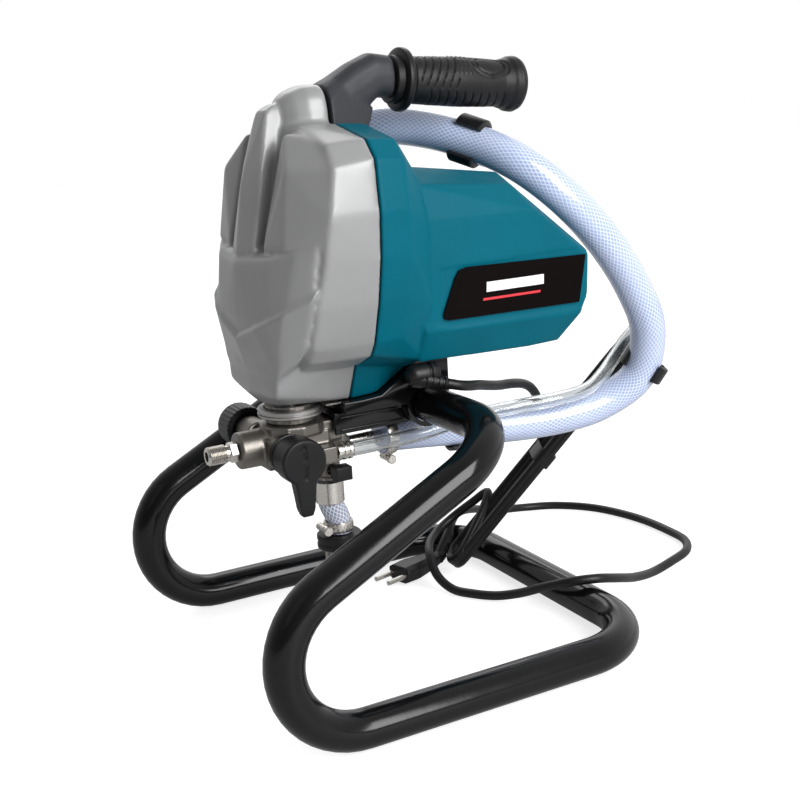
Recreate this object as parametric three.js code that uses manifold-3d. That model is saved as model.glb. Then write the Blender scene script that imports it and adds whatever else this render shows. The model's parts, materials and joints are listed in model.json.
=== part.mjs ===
// Airless paint sprayer: a piston pump under an electric gearmotor, carried on a bent tube stand.
// Millimetres, +Z up, the stand's rails on z = 0. +X points to the rear of the machine (the motor's end),
// -Y is the side with the label and the prime valve.
import * as THREE from "three";
import { mergeVertices } from "three/addons/utils/BufferGeometryUtils.js";
import { ConvexGeometry } from "three/addons/geometries/ConvexGeometry.js";
import Module from "manifold-3d";

const wasm = await Module();
wasm.setup();

// ---------- driving dimensions ----------
const GAP = 0.3; // between pieces that touch
const TUBE_R = 12.5; // the stand's tube, across its flats
const TUBE_SIDES = 16;
const STAND_HALF = 131; // half the distance between the two rails
const STAND_FRONT = -243; // virtual corner of rail and leg
const STAND_REAR = 181; // rear crossbar
const STAND_TOP = new THREE.Vector2(72, 176); // x and z of the top crossbar
const FRONT_BEND = 50;
const TOP_BEND = 45;
const REAR_BEND = 54;

const SEAM_X = 15; // where the front cover meets the motor housing
const WALL = 3; // covers and housings
const BODY_MID_Z = 275; // the height that the casings are hollowed towards
const PUMP_X = -18; // axis of the piston
const INLET_X = 6; // axis of the inlet valve
const BLOCK = { low: 146, high: 166 }; // heights of the pump block
const OUTLET_Z = 159.5;
const VALVE = { x: -31, z: 158 }; // axis of the prime valve, along Y
const PRESSURE = { x: -37, z: 164 }; // axis of the pressure control, along Y
const SUCTION = { y: 5, z: 150 }; // centre of the suction fitting, along X

const MOTOR_Z = 258; // motor shaft, along X at y = 0
const CRANK_Z = 242; // crank shaft, along X at y = 0
const MODULE_MM = 2.5;
const TEETH = { pinion: 8, wheel: 24, small: 10, crank: 32 };
const CRANK_THROW = 7; // half of the piston's stroke

const GRIP_SLOPE = THREE.MathUtils.degToRad(4.5);
const GRIP_START = new THREE.Vector3(74, 0, 391);
const HOSE_R = 13;
const RETURN_R = 5.2;
const CORD_R = 3.5;
const MIDDLE_X = 84.5; // half way between the stand's front bends and the hose's rear bend

// ---------- materials ----------
const finish = (color, roughness, metalness = 0) => new THREE.MeshStandardMaterial({ color, roughness, metalness });
const silverPaint = () => finish(0xa2a3a4, 0.45, 0.35);
const housingPlastic = () => finish(0x0b6f86, 0.42);
const darkPlastic = () => finish(0x35363a, 0.55);
const blackPlastic = () => finish(0x1b1c1e, 0.5);
const blackPaint = () => finish(0x08090b, 0.15, 0.2);
const castMetal = () => finish(0x8f8a84, 0.4, 0.9);
const steel = () => finish(0xb9b7b2, 0.28, 1);
const rubber = () => finish(0x17181a, 0.8);
const clearHose = () => finish(0xd7dff2, 0.25);
const copper = () => finish(0x9a5a32, 0.4, 0.8);

// ---------- solids ----------
const root = new THREE.Group();

function place(name, geometry, material, parent = root) {
  const mesh = new THREE.Mesh(geometry, material);
  mesh.name = name;
  parent.add(mesh);
  return mesh;
}

function solid(geometry) {
  const bare = geometry.clone();
  bare.deleteAttribute("normal");
  bare.deleteAttribute("uv");
  const merged = mergeVertices(bare, 1e-4);
  return new wasm.Manifold(
    new wasm.Mesh({
      numProp: 3,
      vertProperties: merged.attributes.position.array,
      triVerts: new Uint32Array(merged.index.array),
    }),
  );
}

function geometryOf(manifold) {
  const { vertProperties, triVerts } = manifold.getMesh();
  return new THREE.BufferGeometry()
    .setAttribute("position", new THREE.BufferAttribute(vertProperties, 3))
    .setIndex(new THREE.BufferAttribute(triVerts, 1));
}

const join = (...pieces) => geometryOf(pieces.map(solid).reduce((all, next) => all.add(next)));
const cut = (piece, ...tools) =>
  geometryOf(tools.map(solid).reduce((left, tool) => left.subtract(tool), solid(piece)));

function block([x0, x1], [y0, y1], [z0, z1]) {
  return new THREE.BoxGeometry(x1 - x0, y1 - y0, z1 - z0).translate((x0 + x1) / 2, (y0 + y1) / 2, (z0 + z1) / 2);
}

// Turns a shape made along +Y so that it runs along the named axis.
function along(geometry, axis) {
  if (axis === "x") return geometry.rotateZ(-Math.PI / 2);
  if (axis === "z") return geometry.rotateX(Math.PI / 2);
  return geometry;
}

// A round bar from one coordinate to another along an axis, at the given centre in the other two.
function bar(axis, radius, from, to, centre, sides = 24, endRadius = radius) {
  const shape = along(new THREE.CylinderGeometry(endRadius, radius, to - from, sides), axis);
  const middle = (from + to) / 2;
  const at = { x: [middle, ...centre], y: [centre[0], middle, centre[1]], z: [...centre, middle] }[axis];
  return shape.translate(...at);
}

function ring(axis, outer, inner, from, to, centre, sides = 24) {
  return cut(bar(axis, outer, from, to, centre, sides), bar(axis, inner, from - 1, to + 1, centre, sides));
}

const hull = (points) => new ConvexGeometry(points.map((p) => new THREE.Vector3(...p)));
// Points given on the -Y side, with their mirror images.
const bothSides = (points) => points.flatMap(([x, y, z]) => [[x, -y, z], [x, y, z]]);

// A route that is sampled exactly at its own points.
class Route extends THREE.Curve {
  constructor(points) {
    super();
    this.points = points;
  }
  getPoint(t, target = new THREE.Vector3()) {
    const place = t * (this.points.length - 1);
    const index = Math.min(Math.floor(place), this.points.length - 2);
    return target.lerpVectors(this.points[index], this.points[index + 1], place - index);
  }
  getPointAt(u, target) {
    return this.getPoint(u, target);
  }
  getTangentAt(u, target = new THREE.Vector3()) {
    const last = this.points.length - 1;
    const index = Math.round(u * last);
    const before = this.points[Math.max(index - 1, 0)];
    const after = this.points[Math.min(index + 1, last)];
    return target.subVectors(after, before).normalize();
  }
}

// A round tube along a line. With `flat`, its radius is measured to the flats and one flat faces down.
function tube(points, radius, sides, flat = false) {
  const corner = flat ? radius / Math.cos(Math.PI / sides) : radius;
  const section = new THREE.Shape(
    Array.from({ length: sides }, (_, i) => {
      const turn = (2 * Math.PI * (i + (flat ? 0.5 : 0))) / sides;
      return new THREE.Vector2(corner * Math.cos(turn), corner * Math.sin(turn));
    }),
  );
  const steps = points.length - 1;
  return new THREE.ExtrudeGeometry(section, { steps, extrudePath: new Route(points), curveSegments: 1 });
}

// A smooth line through hand-placed points, with a point about every `step` millimetres.
function smooth(points, step) {
  const curve = new THREE.CatmullRomCurve3(points.map((p) => new THREE.Vector3(...p)), false, "centripetal");
  return curve.getSpacedPoints(Math.round(curve.getLength() / step));
}

// A polyline whose inner corners are rounded by arcs.
function rounded(corners, radii, arcSteps) {
  const line = [corners[0]];
  for (let i = 1; i < corners.length - 1; i++) {
    const back = corners[i - 1].clone().sub(corners[i]).normalize();
    const on = corners[i + 1].clone().sub(corners[i]).normalize();
    const half = back.angleTo(on) / 2;
    const middle = back.clone().add(on).normalize();
    const centre = corners[i].clone().addScaledVector(middle, radii[i - 1] / Math.sin(half));
    const start = corners[i].clone().addScaledVector(back, radii[i - 1] / Math.tan(half)).sub(centre);
    const end = corners[i].clone().addScaledVector(on, radii[i - 1] / Math.tan(half)).sub(centre);
    const sweep = start.angleTo(end);
    for (let k = 0; k <= arcSteps; k++) {
      const a = Math.sin(sweep * (1 - k / arcSteps)) / Math.sin(sweep);
      const b = Math.sin((sweep * k) / arcSteps) / Math.sin(sweep);
      line.push(centre.clone().addScaledVector(start, a).addScaledVector(end, b));
    }
  }
  line.push(corners.at(-1));
  return line;
}

// ---------- stand ----------
// One tube, bent into a loop. Its two ends meet at a butt seam in the middle of the rear crossbar.
function stand() {
  const at = (x, y, z) => new THREE.Vector3(x, y, z);
  const corners = [
    at(STAND_REAR, -GAP, TUBE_R),
    at(STAND_REAR, -STAND_HALF, TUBE_R),
    at(STAND_FRONT, -STAND_HALF, TUBE_R),
    at(STAND_TOP.x, -STAND_HALF, STAND_TOP.y),
    at(STAND_TOP.x, STAND_HALF, STAND_TOP.y),
    at(STAND_FRONT, STAND_HALF, TUBE_R),
    at(STAND_REAR, STAND_HALF, TUBE_R),
    at(STAND_REAR, GAP, TUBE_R),
  ];
  const radii = [REAR_BEND, FRONT_BEND, TOP_BEND, TOP_BEND, FRONT_BEND, REAR_BEND];
  const loop = tube(rounded(corners, radii, 8), TUBE_R, TUBE_SIDES, true);
  place("frame_tube", loop, blackPaint());
}

// A channel that carries the pump, a saddle that carries the motor on the top crossbar, and two straps under it.
const CHANNEL = { x: [5, 62], half: 20, z: [163, 178] };
const AROUND_TUBE = (TUBE_R + 2 * GAP) / Math.cos(Math.PI / 24);
function chassis() {
  const outside = block(CHANNEL.x, [-CHANNEL.half, CHANNEL.half], CHANNEL.z);
  const inside = block(
    [CHANNEL.x[0] - 1, CHANNEL.x[1] + 1],
    [-CHANNEL.half + WALL, CHANNEL.half - WALL],
    [CHANNEL.z[0] - 1, CHANNEL.z[1] - WALL],
  );
  const crossbar = bar("y", AROUND_TUBE, -40, 40, [STAND_TOP.x, STAND_TOP.y]);
  place("chassis_channel", cut(outside, inside, crossbar), blackPaint());

  const under = CHANNEL.z[1] + GAP;
  const profile = [[8, under], [57, under], [60.5, 184], [65, 189.3], [88, 189.3], [88, 208], [60, 208], [58, 201.6],
    [36, 187.7], [22, 186.7], [8, 186.7]];
  const wedge = new THREE.Shape(profile.map(([x, z]) => new THREE.Vector2(x, z)));
  const saddle = new THREE.ExtrudeGeometry(wedge, { depth: 60, bevelEnabled: false });
  place("motor_saddle", saddle.rotateX(Math.PI / 2).translate(0, 30, 0), blackPaint());

  const outer = AROUND_TUBE + 3.2;
  for (const [name, y] of [["near", -25], ["far", 25]]) {
    const width = [y - 4, y + 4];
    const leg = (x, top) => block([x - 1.5, x + 1.5], width, [STAND_TOP.y - 1, top]);
    const lower = cut(
      ring("y", outer, AROUND_TUBE, ...width, [STAND_TOP.x, STAND_TOP.y]),
      block([STAND_TOP.x - 30, STAND_TOP.x + 30], [y - 6, y + 6], [STAND_TOP.y, STAND_TOP.y + 40]),
    );
    const strap = join(lower, leg(STAND_TOP.x - outer + 1.6, 178), leg(STAND_TOP.x + outer - 1.6, 189));
    place(`tube_strap_${name}`, strap, blackPaint());
  }
}

// ---------- casings ----------
// Outline of the casings at the seam, [half width, height], down one side.
const SEAM = [[30, 366], [70, 357], [81, 345], [84, 314], [82, 287], [75, 258], [64, 232], [46, 213], [22, 187]];
const seamAt = (x, share = 1) =>
  SEAM.map(([y, z]) => [x, y * share, BODY_MID_Z + (z - BODY_MID_Z) * share]);

function hollowedPoints(points, rearOut, frontIn) {
  const share = 1 - WALL / 82;
  return points.map(([x, y, z]) => [
    x > SEAM_X - 0.5 ? x + rearOut : x + frontIn,
    y * share,
    BODY_MID_Z + (z - BODY_MID_Z) * share,
  ]);
}

function frontCover() {
  const bevel = [[-8, 30, 367], [-10, 68, 355], [-12, 80, 341], [-17, 83, 313], [-20, 80, 288],
    [-25, 74, 259], [-27, 63, 232], [-27, 45, 212], [-27, 22, 190]];
  const face = [[-24, 24, 358], [-33, 46, 325], [-38, 58, 288], [-42, 55, 250], [-42, 42, 214], [-38, 20, 193]];
  const ridge = [[-22, 0, 371], [-38, 0, 332], [-47, 0, 285], [-50, 0, 250], [-46, 0, 214], [-40, 0, 191]];
  const shell = [...seamAt(SEAM_X), ...bevel, ...face, ...ridge];
  const dome = [[SEAM_X, 18, 391], [3, 17, 390], [SEAM_X, 30, 362], [-6, 28, 362], [-14, 10, 372]];
  const outside = join(hull(bothSides(shell)), hull(bothSides(dome)));
  const inside = hull(bothSides(hollowedPoints(shell, 4, WALL)));
  const pumpHole = bar("z", 12, 180, 200, [PUMP_X, 0], 20);
  place("front_cover", cut(outside, inside, pumpHole), silverPaint());
}

const HOUSING_X = SEAM_X + 1.8;
const gearCase = [...seamAt(HOUSING_X), ...seamAt(36, 0.985), ...seamAt(36, 0.6),
  [56, 30, 341], [56, 62, 328], [58, 68, 300], [58, 67, 250], [58, 50, 212], [58, 22, 202]];
const barrel = [
  [54, 30, 337], [54, 56, 326], [54, 63, 304], [54, 63, 232], [54, 52, 211],
  [132, 30, 327], [130, 50, 320], [140, 63, 303], [140, 52, 209],
  [186, 22, 276], [186, 57, 271], [183, 63, 268], [182, 63, 240], [176, 63, 229], [187, 22, 232], [164, 52, 210],
];
function motorHousing() {
  const outside = join(hull(bothSides(gearCase)), hull(bothSides(barrel)));
  const shrink = (points, rear) =>
    points.map(([x, y, z]) => [
      x <= HOUSING_X + 0.1 ? x - 4 : x > 150 ? x - rear : x,
      y * (1 - WALL / 63),
      268 + (z - 268) * (1 - WALL / 58),
    ]);
  const caseInside = hull(bothSides(shrink(gearCase, 0)));
  const barrelInside = hull(bothSides(shrink(barrel, WALL)));
  const slots = [-24, -16, -8, 0, 8, 16, 24].map((y) => block([170, 200], [y - 1.6, y + 1.6], [236, 266]));
  const shell = cut(outside, caseInside, barrelInside, ...slots);
  const boss = ring("x", 14, 11.4, 164, 185, [0, MOTOR_Z]);
  place("motor_housing", join(shell, boss), housingPlastic());

  const seal = cut(
    hull(bothSides([...seamAt(SEAM_X + GAP, 0.985), ...seamAt(HOUSING_X - GAP, 0.985)])),
    hull(bothSides([...seamAt(SEAM_X - 3, 0.955), ...seamAt(HOUSING_X + 3, 0.955)])),
  );
  place("seam_gasket", seal, rubber());

  const outline = [[67, 238], [174, 237], [180, 269], [82, 271], [76, 267]];
  const label = new THREE.Shape(outline.map(([x, z]) => new THREE.Vector2(x, z)));
  const plate = new THREE.ExtrudeGeometry(label, { depth: 0.8, bevelEnabled: false });
  place("label_plate", plate.rotateX(Math.PI / 2).translate(0, -63 - GAP, 0), blackPaint());
}

// ---------- handle ----------
function handle() {
  const foot = [[SEAM_X + 2.2, 24, 368], [SEAM_X + 2.2, 15, 387.5], [33, 14, 396], [56, 24, 366.5], [60, 15, 384]];
  const neck = [[27, 12, 393.5], [42, 10, 404], [56, 12, 407], [68, 12, 405], [68, 19, 392], [67.7, 12, 375],
    [56, 18, 367.5], [50, 19, 388], [30, 18, 372]];
  place("handle_bracket", join(hull(bothSides(foot)), hull(bothSides(neck))), darkPlastic());

  const arm = new THREE.Group();
  arm.position.copy(GRIP_START);
  arm.rotation.y = GRIP_SLOPE;
  root.add(arm);
  const onAxis = (profile) => along(new THREE.LatheGeometry(profile.map(([x, r]) => new THREE.Vector2(r, x)), 24), "x");
  place("handle_rod", bar("x", 6, -3.2, 89, [0, 0], 16), steel(), arm);
  const collar = [[-4, 6.4], [-4, 19], [-1, 20.8], [6, 20.8], [9, 18], [9, 6.4], [-4, 6.4]];
  place("handle_collar", onAxis(collar), darkPlastic(), arm);
  const grip = [[10, 6.4], [10, 15], [16, 15.4], [50, 16.4], [84, 15.6], [88, 17.5], [94, 18.2], [99, 16],
    [99.5, 0], [94, 0], [94, 6.4], [10, 6.4]].map(([x, r]) => [Math.min(x, 10 + (x - 10) * 0.96), r]);
  place("handle_grip", onAxis(grip), rubber(), arm);
}

// ---------- pump ----------
function pump() {
  const neck = ring("z", 17, 8, BLOCK.high + 8.5, 186.5, [PUMP_X, 0]);
  place("pump_neck", neck, castMetal());
  place("lock_ring", ring("z", 22, 18, 178.5, 184.5, [PUMP_X, 0], 12), castMetal());

  const body = join(
    bar("z", 22.5, BLOCK.high, BLOCK.high + 8, [PUMP_X, 0], 12),
    block([-42, 2], [-15, 15], [BLOCK.low, BLOCK.high + 0.5]),
    block([0, 18], [-9.5, 12], [BLOCK.low - 4, BLOCK.high - 5]),
    block([-8, 2.7], [-27, -14], [147, 158]),
    bar("x", 11, -58, -38, [0, OUTLET_Z], 20),
    bar("y", 12, -22.5, -10, [VALVE.x, VALVE.z], 20),
    bar("y", 10, 10, 31, [PRESSURE.x, PRESSURE.z], 20),
  );
  const bores = [
    bar("z", 8, 150, 176, [PUMP_X, 0], 20),
    bar("z", 5.5, 130, 152, [INLET_X, 0], 16),
    bar("x", 4, -60, PUMP_X, [0, OUTLET_Z], 12),
    bar("x", 4.5, 10, 24, [SUCTION.y, SUCTION.z], 12),
  ];
  place("pump_manifold", cut(body, ...bores), castMetal());

  const stud = join(
    bar("x", 7.2, -64.5, -58.3, [0, OUTLET_Z], 6),
    bar("x", 5.2, -67, -64, [0, OUTLET_Z], 20),
    bar("x", 6.3, -79, -66.5, [0, OUTLET_Z], 20),
  );
  place("outlet_fitting", cut(stud, bar("x", 3.4, -80, -57, [0, OUTLET_Z], 12)), steel());

  place("inlet_housing", cut(
    ring("z", 8.6, 5, 128, BLOCK.low - 4 - GAP, [INLET_X, 0], 20),
    bar("y", 3.6, -12, -3, [INLET_X, 136], 12),
  ), castMetal());
  place("inlet_ball", new THREE.SphereGeometry(3.9, 12, 8).translate(INLET_X, 0, 135), steel());
  place("inlet_seat", ring("z", 4.9, 2.6, 128.4, 131, [INLET_X, 0], 16), steel());
  place("inlet_pusher", join(
    block([INLET_X - 4, INLET_X + 8], [-23, -13], [131.5, 141]),
    bar("y", 3, -14, -6.8, [INLET_X, 136], 12),
  ), blackPlastic());
}

function primeValve() {
  const body = ring("y", 14, 5.4, -34, -22.8, [VALVE.x, VALVE.z], 18);
  place("prime_valve_body", body, blackPlastic());
  const lever = join(
    bar("y", 15.3, -50, -34.4, [VALVE.x, VALVE.z], 28),
    hull(bothSides([[0, 8, 0], [15.6, 8, 0], [15.6, 5, -18], [0, 5, -18], [2, 4.7, -34], [14, 4.7, -34], [7, 3, -37]])
      .map(([depth, across, drop]) => [VALVE.x + across, -50 + depth * 0.62, VALVE.z + drop])),
    bar("y", 5, -36, -23.2, [VALVE.x, VALVE.z], 16),
  );
  place("prime_valve_lever", lever, blackPlastic());
}

function pressureControl() {
  const { x, z } = PRESSURE;
  place("pressure_stem", bar("y", 5, 31.3, 43, [x, z], 16), steel());
  const cup = [[31.8, 12], [31.8, 15.5], [50, 15.5], [54, 13.5], [54, 0], [44, 0], [44, 5.3], [36, 5.3], [36, 12],
    [31.8, 12]];
  const profile = cup.map(([y, r]) => new THREE.Vector2(r, y));
  const pointer = block([x - 1.5, x + 1.5], [47, 55.5], [z, z + 14.5]);
  const turned = new THREE.LatheGeometry(profile, 24).translate(x, 0, z);
  place("pressure_knob", join(turned, pointer), blackPlastic());
}

// The short braided drop hose under the inlet, with its clamp and strainer.
const DROP_X = INLET_X + 5;
function pickUp() {
  place("inlet_sleeve", ring("z", 10.3, 9.1, 111.6, 127.7, [INLET_X, 0]), steel());
  const line = smooth([[INLET_X, 0, 126], [INLET_X, 0, 112], [INLET_X + 2, 0, 106], [DROP_X, 0, 99], [DROP_X, 0, 88.6]], 4);
  place("drop_hose", tube(line, 8.6, 14), clearHose());
  const band = ring("z", 10.2, 9.1, 90, 97, [DROP_X, 0]);
  const screw = join(
    bar("y", 3.2, -9, 6, [DROP_X - 12.2, 93.5], 12),
    bar("y", 4.2, -13, -8.5, [DROP_X - 12.2, 93.5], 6),
  );
  place("drop_hose_clamp", join(band, screw), steel());
  place("strainer_collar", bar("z", 15.6, 78, 88, [DROP_X, 0], 24), blackPlastic());
  place("strainer_mesh", bar("z", 11, 56, 77.7, [DROP_X, 0], 20), castMetal());
}

// ---------- hoses ----------
// Both start at the pump. The suction hose ends in a strainer that hangs on the far side of the casings.
const HOSE_ROUTE = [
  [50, SUCTION.y, SUCTION.z], [58, SUCTION.y, SUCTION.z], [78, 6, 148], [112, 3, 145], [153, -6, 142], [192, -14, 143],
  [224, -20, 149], [251, -30, 168], [254, -38, 202], [237, -42, 238], [210, -42, 276], [181, -38, 307], [156, -22, 331],
  [136, 9, 347], [113, 38, 357], [92, 55, 360], [73, 75, 355], [60, 90, 341], [55, 97, 322], [55, 97, 300],
];
const CLIPS = { front: 3, rear: 7, upper: 13, side: 18 }; // at these points of the suction hose
const CLIP_MOUTH = new THREE.Vector3(-0.45, -0.86, 0.24);
const CLIP = { gap: 1.8, wall: 2.2, half: 7, reach: HOSE_R + RETURN_R + 4.6 };
const hoseCurve = new THREE.CatmullRomCurve3(HOSE_ROUTE.map((p) => new THREE.Vector3(...p)), false, "centripetal");
function onHose(index, mouth = CLIP_MOUTH) {
  const share = index / (HOSE_ROUTE.length - 1);
  const tangent = hoseCurve.getTangent(share);
  return { at: hoseCurve.getPoint(share), tangent, across: mouth.clone().projectOnPlane(tangent).normalize() };
}

// From here on the return tube lies along the back of the suction hose.
const RETURN_JOINS = 9;
const behindHose = (index) => {
  const { at, across } = onHose(index);
  return at.addScaledVector(across, -CLIP.reach).toArray();
};
const RETURN_ROUTE = [
  [15, -21.5, 152.5], [36, -21, 152.5], [69, -20, 153], [93, -21, 156], [127, -22, 159], [150, -24, 160],
  [178, -31, 162], [205, -29, 164], [226, -19, 169.5], [243, -9, 176], [256, -9, 190], [264, -16, 206],
  ...HOSE_ROUTE.map((_, index) => behindHose(index)).slice(RETURN_JOINS),
];

// A clip round the hose, open towards `mouth`. It can also hold the return tube, or reach out to the casing.
function hoseClip(name, { at, tangent, across }, { holdsReturn = false, arm = 0 } = {}) {
  const inner = HOSE_R + CLIP.gap;
  const arc = new THREE.Shape();
  arc.absarc(0, 0, inner + CLIP.wall, 0.35 * Math.PI, 1.65 * Math.PI, false);
  arc.absarc(0, 0, inner, 1.65 * Math.PI, 0.35 * Math.PI, true);
  const open = new THREE.ExtrudeGeometry(arc, { depth: 2 * CLIP.half, bevelEnabled: false, curveSegments: 12 });
  const pieces = [open.translate(0, 0, -CLIP.half)];
  if (holdsReturn) {
    const small = RETURN_R + CLIP.gap;
    pieces.push(ring("z", small + 2, small, -CLIP.half, CLIP.half, [-CLIP.reach, 0], 16));
  }
  if (arm) pieces.push(block([-inner - arm, -inner - 1], [-CLIP.half, CLIP.half], [-CLIP.half, CLIP.half]));
  const other = new THREE.Vector3().crossVectors(tangent, across);
  const shape = pieces.length > 1 ? join(...pieces) : pieces[0];
  shape.applyMatrix4(new THREE.Matrix4().makeBasis(across, other, tangent).setPosition(at));
  place(name, shape, blackPlastic());
}

function hoses() {
  const line = smooth(HOSE_ROUTE, 16);
  place("suction_hose", tube(line, HOSE_R, 12), clearHose());
  place("return_tube", tube(smooth(RETURN_ROUTE, 13), RETURN_R, 8), clearHose());
  const inlet = [SUCTION.y, SUCTION.z];
  place("suction_fitting", join(bar("x", 6.5, 18.3, 24, inlet, 6), bar("x", 4, 12, 49.7, inlet, 12)), steel());
  place("suction_clamp", join(
    ring("x", HOSE_R + 2, HOSE_R + 0.5, 50.5, 58, inlet),
    bar("y", 3.4, SUCTION.y - 9, SUCTION.y + 6, [54.2, SUCTION.z - HOSE_R - 4.6], 12),
  ), steel());
  place("return_ferrule", bar("x", 6.2, 3, 14.6, RETURN_ROUTE[0].slice(1), 16), steel());

  hoseClip("hose_clip_front", onHose(CLIPS.front));
  hoseClip("hose_clip_rear", onHose(CLIPS.rear));
  hoseClip("hose_clip_upper", onHose(CLIPS.upper), { holdsReturn: true });
  hoseClip("hose_clip_side", onHose(CLIPS.side, new THREE.Vector3(0, 1, 0)), { arm: 7 });

  const away = line.at(-1).clone().sub(line.at(-2)).normalize();
  const cup = [[0, 0], [15, 0], [15, 5], [13, 7], [13, 26], [11, 28], [0, 28], [0, 0]];
  const strainer = new THREE.LatheGeometry(cup.map(([r, y]) => new THREE.Vector2(r, y)), 16);
  strainer.applyQuaternion(new THREE.Quaternion().setFromUnitVectors(new THREE.Vector3(0, 1, 0), away));
  const start = line.at(-1).clone().addScaledVector(away, GAP);
  place("suction_strainer", strainer.translate(start.x, start.y, start.z), blackPlastic());
}

// ---------- power cord ----------
const PLUG = { rear: [138, 92, 9], turn: Math.PI + 0.28, length: 44 };
const HANK = { foot: [141, 72, 9], head: [276, 2, 187], width: 34, thickness: 16 };
const CORD_TO_HANK = [
  [72, -55.5, 194.6], [80, -57.5, 192.4], [90, -54.5, 190], [101, -48, 187.5], [113, -41, 184], [126, -33, 180.5],
  [142, -24, 177.5], [158, -13, 173], [173, -1, 166], [185, 10, 157], [195, 20, 146], [203, 28, 134], [208, 35, 123],
];
const CORD_TO_PLUG = [
  [180, 76, 62], [170, 86, 52], [157, 95, 40], [141, 93, 32], [126, 81, 27.5], [118, 66, 23], [116, 52, 12],
  [121, 38, 4.5], [130, 22, 3.8], [141, 6, 5], [150, -12, 11], [158, -33, 21], [170, -52, 29], [187, -60, 30],
  [208, -56, 24], [238, -40, 12], [268, -25, 4.2], [296, -15, 3.8], [320, -4, 3.8], [334, 14, 3.8], [338, 40, 3.8],
  [337, 82, 3.8], [323, 126, 3.8], [299, 153, 3.8], [272, 165, 4.2], [240, 160, 10], [208, 145, 22], [186, 130, 29],
  [171, 117, 31], [161, 107, 27.5], [153.5, 100, 18.5], [147, 96.5, 12], [139.6, 92.6, 9],
];

function powerCord() {
  // The boot lies in the step under the casing, and a tapered spout points the cord down and back.
  const profile = [[45, 0], [45, 4.5], [49, 7], [59, 7.2], [60, 6.2], [61, 6.2], [62, 7.3], [66.5, 7.3], [67.5, 6],
    [67.5, 0]];
  const boot = along(new THREE.LatheGeometry(profile.map(([x, r]) => new THREE.Vector2(r, x)), 16), "x");
  const end = new THREE.Vector3(...CORD_TO_HANK[0]);
  const way = new THREE.Vector3(...CORD_TO_HANK[1]).sub(end).normalize();
  const spout = bar("y", 6, -24, -0.8, [0, 0], 16, 4.3);
  spout.applyQuaternion(new THREE.Quaternion().setFromUnitVectors(new THREE.Vector3(0, 1, 0), way));
  place("cord_grommet", join(boot.translate(0, -50, 202.6), spout.translate(end.x, end.y, end.z)), rubber());

  place("power_cord_upper", tube(smooth(CORD_TO_HANK, 13), CORD_R, 8), rubber());
  place("power_cord_lower", tube(smooth(CORD_TO_PLUG, 17), CORD_R, 8), rubber());

  const foot = new THREE.Vector3(...HANK.foot);
  const head = new THREE.Vector3(...HANK.head);
  const run = head.clone().sub(foot);
  const long = run.length();
  run.normalize();
  const level = new THREE.Vector3(-run.y, run.x, 0).normalize();
  const outline = new THREE.Shape();
  const round = HANK.width / 2;
  outline.absarc(long - round, 0, round, -Math.PI / 2, Math.PI / 2, false);
  outline.absarc(round, 0, round, Math.PI / 2, 1.5 * Math.PI, false);
  const hank = new THREE.ExtrudeGeometry(outline, { depth: HANK.thickness, bevelEnabled: false, curveSegments: 8 });
  hank.translate(0, 0, -HANK.thickness / 2);
  hank.applyMatrix4(
    new THREE.Matrix4().makeBasis(run, level, new THREE.Vector3().crossVectors(run, level)).setPosition(foot),
  );
  place("cord_hank", hank, rubber());

  const plug = new THREE.Group();
  plug.position.set(...PLUG.rear);
  plug.rotation.z = PLUG.turn;
  root.add(plug);
  const section = [[0, 5, 5], [8, 7, 6.5], [30, 12, 7.5], [44, 11.5, 7]];
  place("plug_body", hull(section.flatMap(([x, y, z]) =>
    [[1, 0.6], [0.6, 1], [-0.6, 1], [-1, 0.6]].flatMap(([a, b]) => [[x, y * a, z * b], [x, y * a, -z * b]]))),
    rubber(), plug);
  for (const [name, y] of [["plug_pin_1", -7], ["plug_pin_2", 7]])
    place(name, bar("x", 2.2, PLUG.length + GAP, PLUG.length + 19, [y, 0], 12), steel(), plug);
}

// ---------- power switch ----------
function powerSwitch() {
  const y = 63 + GAP;
  const frame = cut(block([88, 114], [y, y + 4], [246, 268]), block([90, 112], [y + 1, y + 5], [248, 266]));
  place("switch_frame", frame, blackPlastic());
  const rocker = new THREE.Group();
  rocker.position.set(101, y + 3, 257);
  rocker.rotation.z = THREE.MathUtils.degToRad(-8);
  root.add(rocker);
  const profile = [[-10, 3.6], [10, 3.6], [10, 2], [3, -1.5], [-3, -1.5], [-10, 2]];
  place("switch_rocker", hull(profile.flatMap(([x, depth]) => [[x, depth, -8.6], [x, depth, 8.6]])), blackPlastic(),
    rocker);
}

// ---------- drive ----------
const pitchRadius = (teeth) => (MODULE_MM * teeth) / 2;

// A straight-cut gear about an axis along X, with a tooth (or a gap) pointing along `facing`.
function gear(teeth, [y, z], from, to, facing, gapFaces) {
  const pitch = (2 * Math.PI) / teeth;
  const tip = pitchRadius(teeth) + 0.6 * MODULE_MM;
  const foot = pitchRadius(teeth) - 0.9 * MODULE_MM;
  const first = facing + (gapFaces ? pitch / 2 : 0);
  const flank = [[-0.24, foot], [-0.11, tip], [0.11, tip], [0.24, foot]];
  const outline = new THREE.Shape(
    Array.from({ length: teeth }, (_, i) => flank.map(([share, r]) => {
      const turn = first + (i + share) * pitch;
      return new THREE.Vector2(r * Math.cos(turn), r * Math.sin(turn));
    })).flat(),
  );
  const shape = new THREE.ExtrudeGeometry(outline, { depth: to - from, bevelEnabled: false, curveSegments: 12 });
  shape.applyMatrix4(new THREE.Matrix4().makeBasis(
    new THREE.Vector3(0, 1, 0), new THREE.Vector3(0, 0, 1), new THREE.Vector3(1, 0, 0)));
  return shape.translate(from, y, z);
}

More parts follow.
